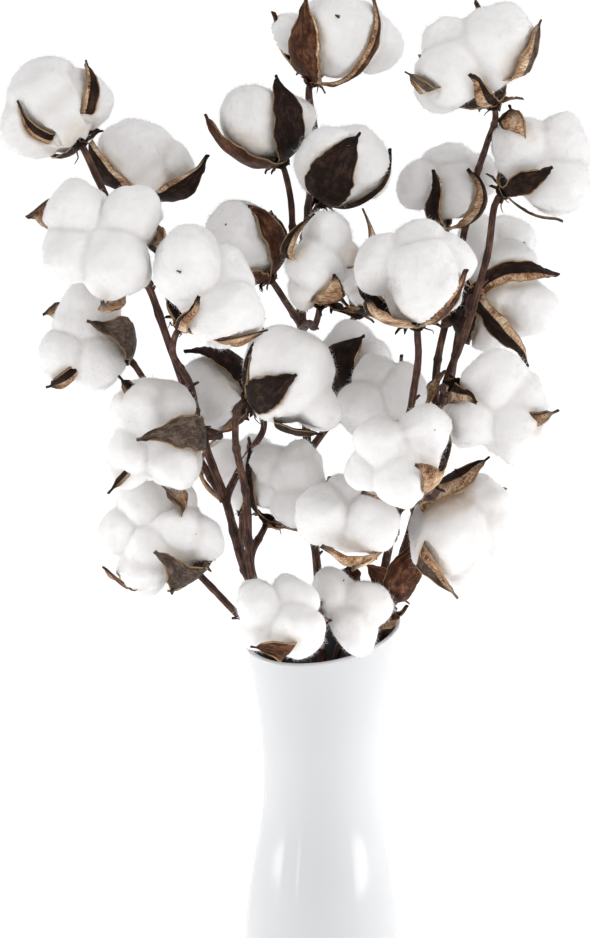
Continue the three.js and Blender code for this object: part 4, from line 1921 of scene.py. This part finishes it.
@dataclass
class Stalk:
    """A whole stalk: its stem and twigs, and the burs and cotton of its bolls.

    A stem meets its bur so far below the cotton, runs on into the hub by the overlap, and lies in
    line with its boll along the neck. Stubs grow only above the height stubs_from, and the curls
    start round a circle of the curls' radius.
    """

    node: str
    bolls: tuple[Boll, ...]
    below: float = 2.3 * MM
    overlap: float = 1.0 * MM
    neck: float = 8 * MM
    stubs_from: float = 0.25
    curls_radius: float = 3.0 * MM

    def _stubs(self, route: Route, draw: random.Random) -> list[bpy.types.Object]:
        """Makes the short broken side shoots of a stem.

        Args:
            route: The stem's line.
            draw: The source of chance.

        Returns:
            The stubs.
        """
        stubs = []
        walked = draw.uniform(20, 60) * MM
        while walked < route.length - 20 * MM:
            middle, one, two = (rows[0] for rows in route.rings(np.array([walked])))
            if middle[2] > self.stubs_from:
                angle = draw.uniform(0, FULL_TURN)
                ahead = np.cross(one, two)
                way = unit(one * math.cos(angle) + two * math.sin(angle) + ahead * 0.8)
                tip = middle + way * draw.uniform(4.5, 8.0) * MM
                line = Route(np.array([middle, (middle + tip) / 2, tip]), 6)
                stubs.append(Stem(line, STUB_SIZE, draw).build())
            walked += draw.uniform(45, 110) * MM
        return stubs

    def _curls(self, boll: Boll, seat: BollFrame, draw: random.Random) -> list[bpy.types.Object]:
        """Makes the dry curls that hang at a boll's hub.

        Args:
            boll: The boll.
            seat: The boll's frame.
            draw: The source of chance.

        Returns:
            The curls.
        """
        curls = []
        for _ in range(draw.choice((1, 2, 3))):
            around = draw.uniform(0, FULL_TURN)
            way = np.array([[math.cos(around), math.sin(around), -0.7]])
            start = np.array([[self.curls_radius * math.cos(around), self.curls_radius * math.sin(around),
                               -boll.radius * FLATNESS - 2 * MM]])
            heading = unit((way @ seat.axes)[0])
            length = draw.uniform(6, 14) * MM
            curls.append(make_twist(seat.outwards(start)[0], heading, length, 0.6 * MM, draw))
        return curls

    @staticmethod
    def _crumbs(boll: Boll, seat: BollFrame, lint: bpy.types.Object,
                draw: random.Random) -> list[bpy.types.Object]:
        """Makes the dark specks on the side of a boll's cotton that is seen from the front.

        Args:
            boll: The boll.
            seat: The boll's frame.
            lint: The boll's finished cotton.
            draw: The source of chance.

        Returns:
            The specks.
        """
        points, outward = corners(lint), normals(lint)
        seen = (points - seat.middle) @ RIGHT_UP_NEAR.T
        crumbs = []
        for right, up, length in boll.crumbs:
            aside = np.hypot(seen[:, 0] - right * boll.radius, seen[:, 1] - up * boll.radius)
            k = int(np.argmax(seen[:, 2] - 20 * np.maximum(aside - 2 * MM, 0)))
            way = unit(np.cross(outward[k], RIGHT_UP_NEAR[1]) + 0.3 * outward[k])
            start = points[k] + outward[k] * 0.2 * MM
            crumbs.append(make_twist(start, way, length * MM, 0.16 * length * MM + 0.1 * MM, draw))
        return crumbs

    def _route(self, boll: Boll, seat: BollFrame) -> Route:
        """Runs the line of a boll's stem, up to its bur's hub.

        Args:
            boll: The boll.
            seat: The boll's frame.

        Returns:
            The line.
        """
        depth = (boll.radius + self.below) * FLATNESS
        hub, inner = seat.outwards(np.array([[0, 0, -depth], [0, 0, -depth + self.overlap]]))
        points = np.array(boll.route) * MM
        way = unit(seat.axes[2] + unit(hub - points[-1]))
        return Route(np.vstack([points, hub - way * self.neck * FLATNESS, inner]))

    def build(self, sheets: Sheets, finishes: Finishes) -> None:
        """Builds, dresses and fits every piece of the stalk.

        Args:
            sheets: The flat sheets that the flaps of the burs are shaped from.
            finishes: The object's materials.
        """
        stems = []
        for i, boll in enumerate(self.bolls):
            draw = random.Random(boll.name)
            seat = BollFrame(boll)
            route = self._route(boll, seat)
            stems.append(Stem(route, STALK_SIZE if i == 0 else TWIG_SIZE, draw).build())
            stems += self._stubs(route, draw) + self._curls(boll, seat, draw)
            bur = Bur(boll, seat, draw)
            bur.settle()
            lint = Lint(boll, seat, bur.shapes, draw).build(finishes)
            wisps = Wisps(lint, draw.randrange(10**6)).build(f"wisps_{boll.name}", finishes)
            stems += self._crumbs(boll, seat, lint, draw)
            fit(lint, "cotton", f"cotton_{boll.name}")
            fit(wisps, "cotton", f"cotton_{boll.name}")
            fit(bur.build(sheets, finishes), "bark", self.node)
        wood = joined(f"{self.node}_wood", stems)
        dress(wood, (finishes.bark,))
        fit(wood, "bark", self.node)


# ---------- The vase ----------


@dataclass
class Vase:
    """The vase: a belly at the bottom, a waist above the middle and a wide, slanted mouth.

    The foot, belly, waist and mouth are outer radii. Above the height slant_from the wall is
    lifted towards the mouth, by shares of how far to the right and to the back a point lies.
    """

    height: float = 0.240
    foot: float = 0.043
    belly: float = 0.0478
    belly_height: float = 0.040
    waist: float = 0.0362
    waist_height: float = 0.145
    mouth: float = 0.0475
    wall: float = 0.0034
    floor: float = 0.010
    foot_round: float = 3 * MM
    foot_rise: float = 2.5 * MM
    floor_round: float = 5 * MM
    slant_from: float = 0.200
    slant_right: float = 0.15
    slant_back: float = 0.13
    steps: int = 128

    def radius(self, z: float) -> float:
        """Finds the outer radius, before the mouth is slanted.

        Args:
            z: The height.

        Returns:
            The radius there.
        """
        if z < self.belly_height:
            drop = (self.belly_height - z) / self.belly_height
            return self.belly - (self.belly - self.foot) * drop**2.4
        if z < self.waist_height:
            climb = (z - self.belly_height) / (self.waist_height - self.belly_height)
            return self.waist + (self.belly - self.waist) * (1 + math.cos(math.pi * climb)) / 2
        rise = (z - self.waist_height) / (self.height - self.waist_height)
        return self.waist + (self.mouth - self.waist) * rise**1.6

    def _outline(self) -> list[tuple[float, float]]:
        """Draws the wall's outline.

        Returns:
            Its (radius, height) points, from the middle of the underside round to the inside floor.
        """
        lip = self.wall / 2
        foot_edge = [(self.foot - self.foot_round + self.foot_round * math.sin(a),
                      self.foot_rise * (1 - math.cos(a))) for a in np.linspace(0, 1.2, 6)]
        outside = [(self.radius(z), z) for z in np.linspace(4 * MM, self.height - lip, 56)]
        rim = [(self.mouth - lip + lip * math.cos(a), self.height - lip + lip * math.sin(a))
               for a in np.linspace(0, math.pi, 11)[1:-1]]
        inside = [(self.radius(z) - self.wall, z)
                  for z in np.linspace(self.height - lip, self.floor + self.floor_round + 1 * MM, 40)]
        corner, bend_by = self.radius(self.floor) - self.wall, self.floor_round
        bend = [(corner - bend_by + bend_by * math.cos(a), self.floor + bend_by - bend_by * math.sin(a))
                for a in np.linspace(0, math.pi / 2, 7)]
        return [(0.0, 0.0), *foot_edge, *outside, *rim, *inside, *bend, (0.0, self.floor)]

    def build(self) -> None:
        """Spins the outline to the vase, slants its mouth, and dresses and fits it."""
        outline = self._outline()
        points = np.array([(r, 0.0, z) for r, z in outline])
        edges = [(i, i + 1) for i in range(len(outline) - 1)]
        body = from_points("vase_body", points, edges, [])
        pick(body)
        bpy.ops.object.mode_set(mode="EDIT")
        bpy.ops.mesh.select_all(action="SELECT")
        bpy.ops.mesh.spin(steps=self.steps, angle=FULL_TURN, center=(0, 0, 0), axis=(0, 0, 1))
        bpy.ops.mesh.select_all(action="SELECT")
        bpy.ops.mesh.remove_doubles(threshold=1e-6)
        bpy.ops.mesh.normals_make_consistent(inside=False)
        bpy.ops.object.mode_set(mode="OBJECT")
        points = corners(body)
        share = smoothstep(self.slant_from, self.height, points[:, 2])
        points[:, 2] += share * (self.slant_right * points[:, 0] + self.slant_back * points[:, 1])
        place(body, points)
        dress(body, (GLAZE.make(), INSIDE_PAINTED_SHADE.make()))
        # The faces inside the wall and on the inner floor take the near-black material, painted shade
        # inside the vase.
        for face in body.data.polygons:
            x, y, z = face.center
            rise = float(smoothstep(self.slant_from, self.height, np.array(z)))
            straight = z - rise * (self.slant_right * x + self.slant_back * y)
            middle_of_wall = self.radius(min(straight, self.height)) - self.wall * 0.6
            face.material_index = int(z > self.floor * 0.9 and math.hypot(x, y) < middle_of_wall)
        fit(body, "glaze", "vase")


# ---------- The studio ----------


@dataclass(frozen=True)
class Panel:
    """A soft light panel.

    It hangs at one point and faces another, its aim. The size is its width and height, the power
    is in watts, and the spread is the whole angle, in degrees, that its light fans out to.
    """

    name: str
    at: Point
    aim: Point
    size: tuple[float, float]
    power: float
    spread: float = 180.0

    def hang(self) -> None:
        """Hangs the panel."""
        light = bpy.data.lights.new(self.name, "AREA")
        light.shape = "RECTANGLE"
        light.size, light.size_y = self.size
        light.energy = self.power
        light.spread = math.radians(self.spread)
        lamp = bpy.data.objects.new(self.name, light)
        back = unit(np.array(self.at) - np.array(self.aim))
        right = unit(np.cross([0.0, 0.0, 1.0], back))
        turn = Matrix(np.stack([right, np.cross(back, right), back], axis=1).tolist()).to_4x4()
        lamp.matrix_world = Matrix.Translation(self.at) @ turn
        bpy.context.scene.collection.objects.link(lamp)


BOUQUET: Point = (0.0, 0.0, 0.35)
BELLY: Point = (0.0, 0.0, 0.12)
PANELS = (
    Panel("top_panel", (0.9, -0.5, 2.0), BOUQUET, (1.4, 1.4), 4.5),
    Panel("front_panel", (0.9, -1.2, 1.5), (0.05, 0.0, 0.6), (1.0, 1.0), 5.4),
    Panel("right_panel", (1.4, 0.1, 0.6), BOUQUET, (0.8, 1.2), 0.9),
    Panel("left_panel", (-1.3, 0.15, 0.4), BOUQUET, (0.8, 0.8), 2.2),
    Panel("low_right_panel", (0.70, -0.24, 0.10), BELLY, (0.5, 0.40), 0.26, 50.0),
    Panel("low_back_panel", (0.62, 0.22, 0.10), BELLY, (0.5, 0.40), 0.22, 50.0),
    Panel("low_left_panel", (-0.74, -0.03, 0.12), BELLY, (0.50, 0.36), 0.30, 50.0),
    Panel("strip_panel", (-0.50, -0.60, 0.24), BELLY, (0.05, 0.45), 0.2),
)


@dataclass
class Studio:
    """A pale floor under soft light, and the camera in front of the bouquet.

    The sky is the strength of the even light from all round, and the floor glows a little too, so
    that it stays pale under the vase. The camera looks down by so many degrees.
    """

    floor_radius: float = 14.0
    floor_colour: Colour = (0.88, 0.88, 0.88)
    floor_glow: float = 0.52
    sky: float = 0.59
    lens: float = 121.5
    camera_at: Point = (-0.0168, -1.8353, 0.8324)
    look_down: float = 15.0

    def _floor(self) -> None:
        """Lays the floor."""
        deselect()
        bpy.ops.mesh.primitive_circle_add(vertices=96, radius=self.floor_radius, fill_type="NGON")
        floor = bpy.context.active_object
        floor.name = "floor"
        pale = Paint("floor").surface({
            "Base Color": (*self.floor_colour, 1.0),
            "Roughness": 0.9,
            "Specular IOR Level": 0.0,
            "Emission Color": (1.0, 1.0, 1.0, 1.0),
            "Emission Strength": self.floor_glow,
        })
        floor.data.materials.append(pale)

    def _sky(self) -> None:
        """Sets the even light that comes from all round."""
        world = bpy.data.worlds.new("studio")
        world.use_nodes = True
        background = world.node_tree.nodes["Background"]
        background.inputs["Color"].default_value = (1.0, 1.0, 1.0, 1.0)
        background.inputs["Strength"].default_value = self.sky
        bpy.context.scene.world = world

    def _camera(self) -> None:
        """Sets up the camera."""
        camera = bpy.data.objects.new("camera", bpy.data.cameras.new("camera"))
        camera.data.lens = self.lens
        camera.location = self.camera_at
        camera.rotation_euler = (math.radians(90 - self.look_down), 0.0, 0.0)
        bpy.context.scene.collection.objects.link(camera)
        bpy.context.scene.camera = camera

    def build(self) -> None:
        """Builds the floor, the lights and the camera."""
        bpy.context.scene.view_settings.view_transform = "Standard"
        self._camera()
        self._floor()
        self._sky()
        for panel in PANELS:
            panel.hang()


# ---------- The whole object ----------


def main() -> None:
    logging.basicConfig(level=logging.INFO, format="%(message)s")
    Studio().build()
    finishes = Finishes()
    Vase().build()
    sheets = Sheets.make()
    for node, bolls in STALKS.items():
        Stalk(node, bolls).build(sheets, finishes)
    Bract().build(sheets, finishes)
    sheets.remove()


if __name__ == "__main__":
    main()
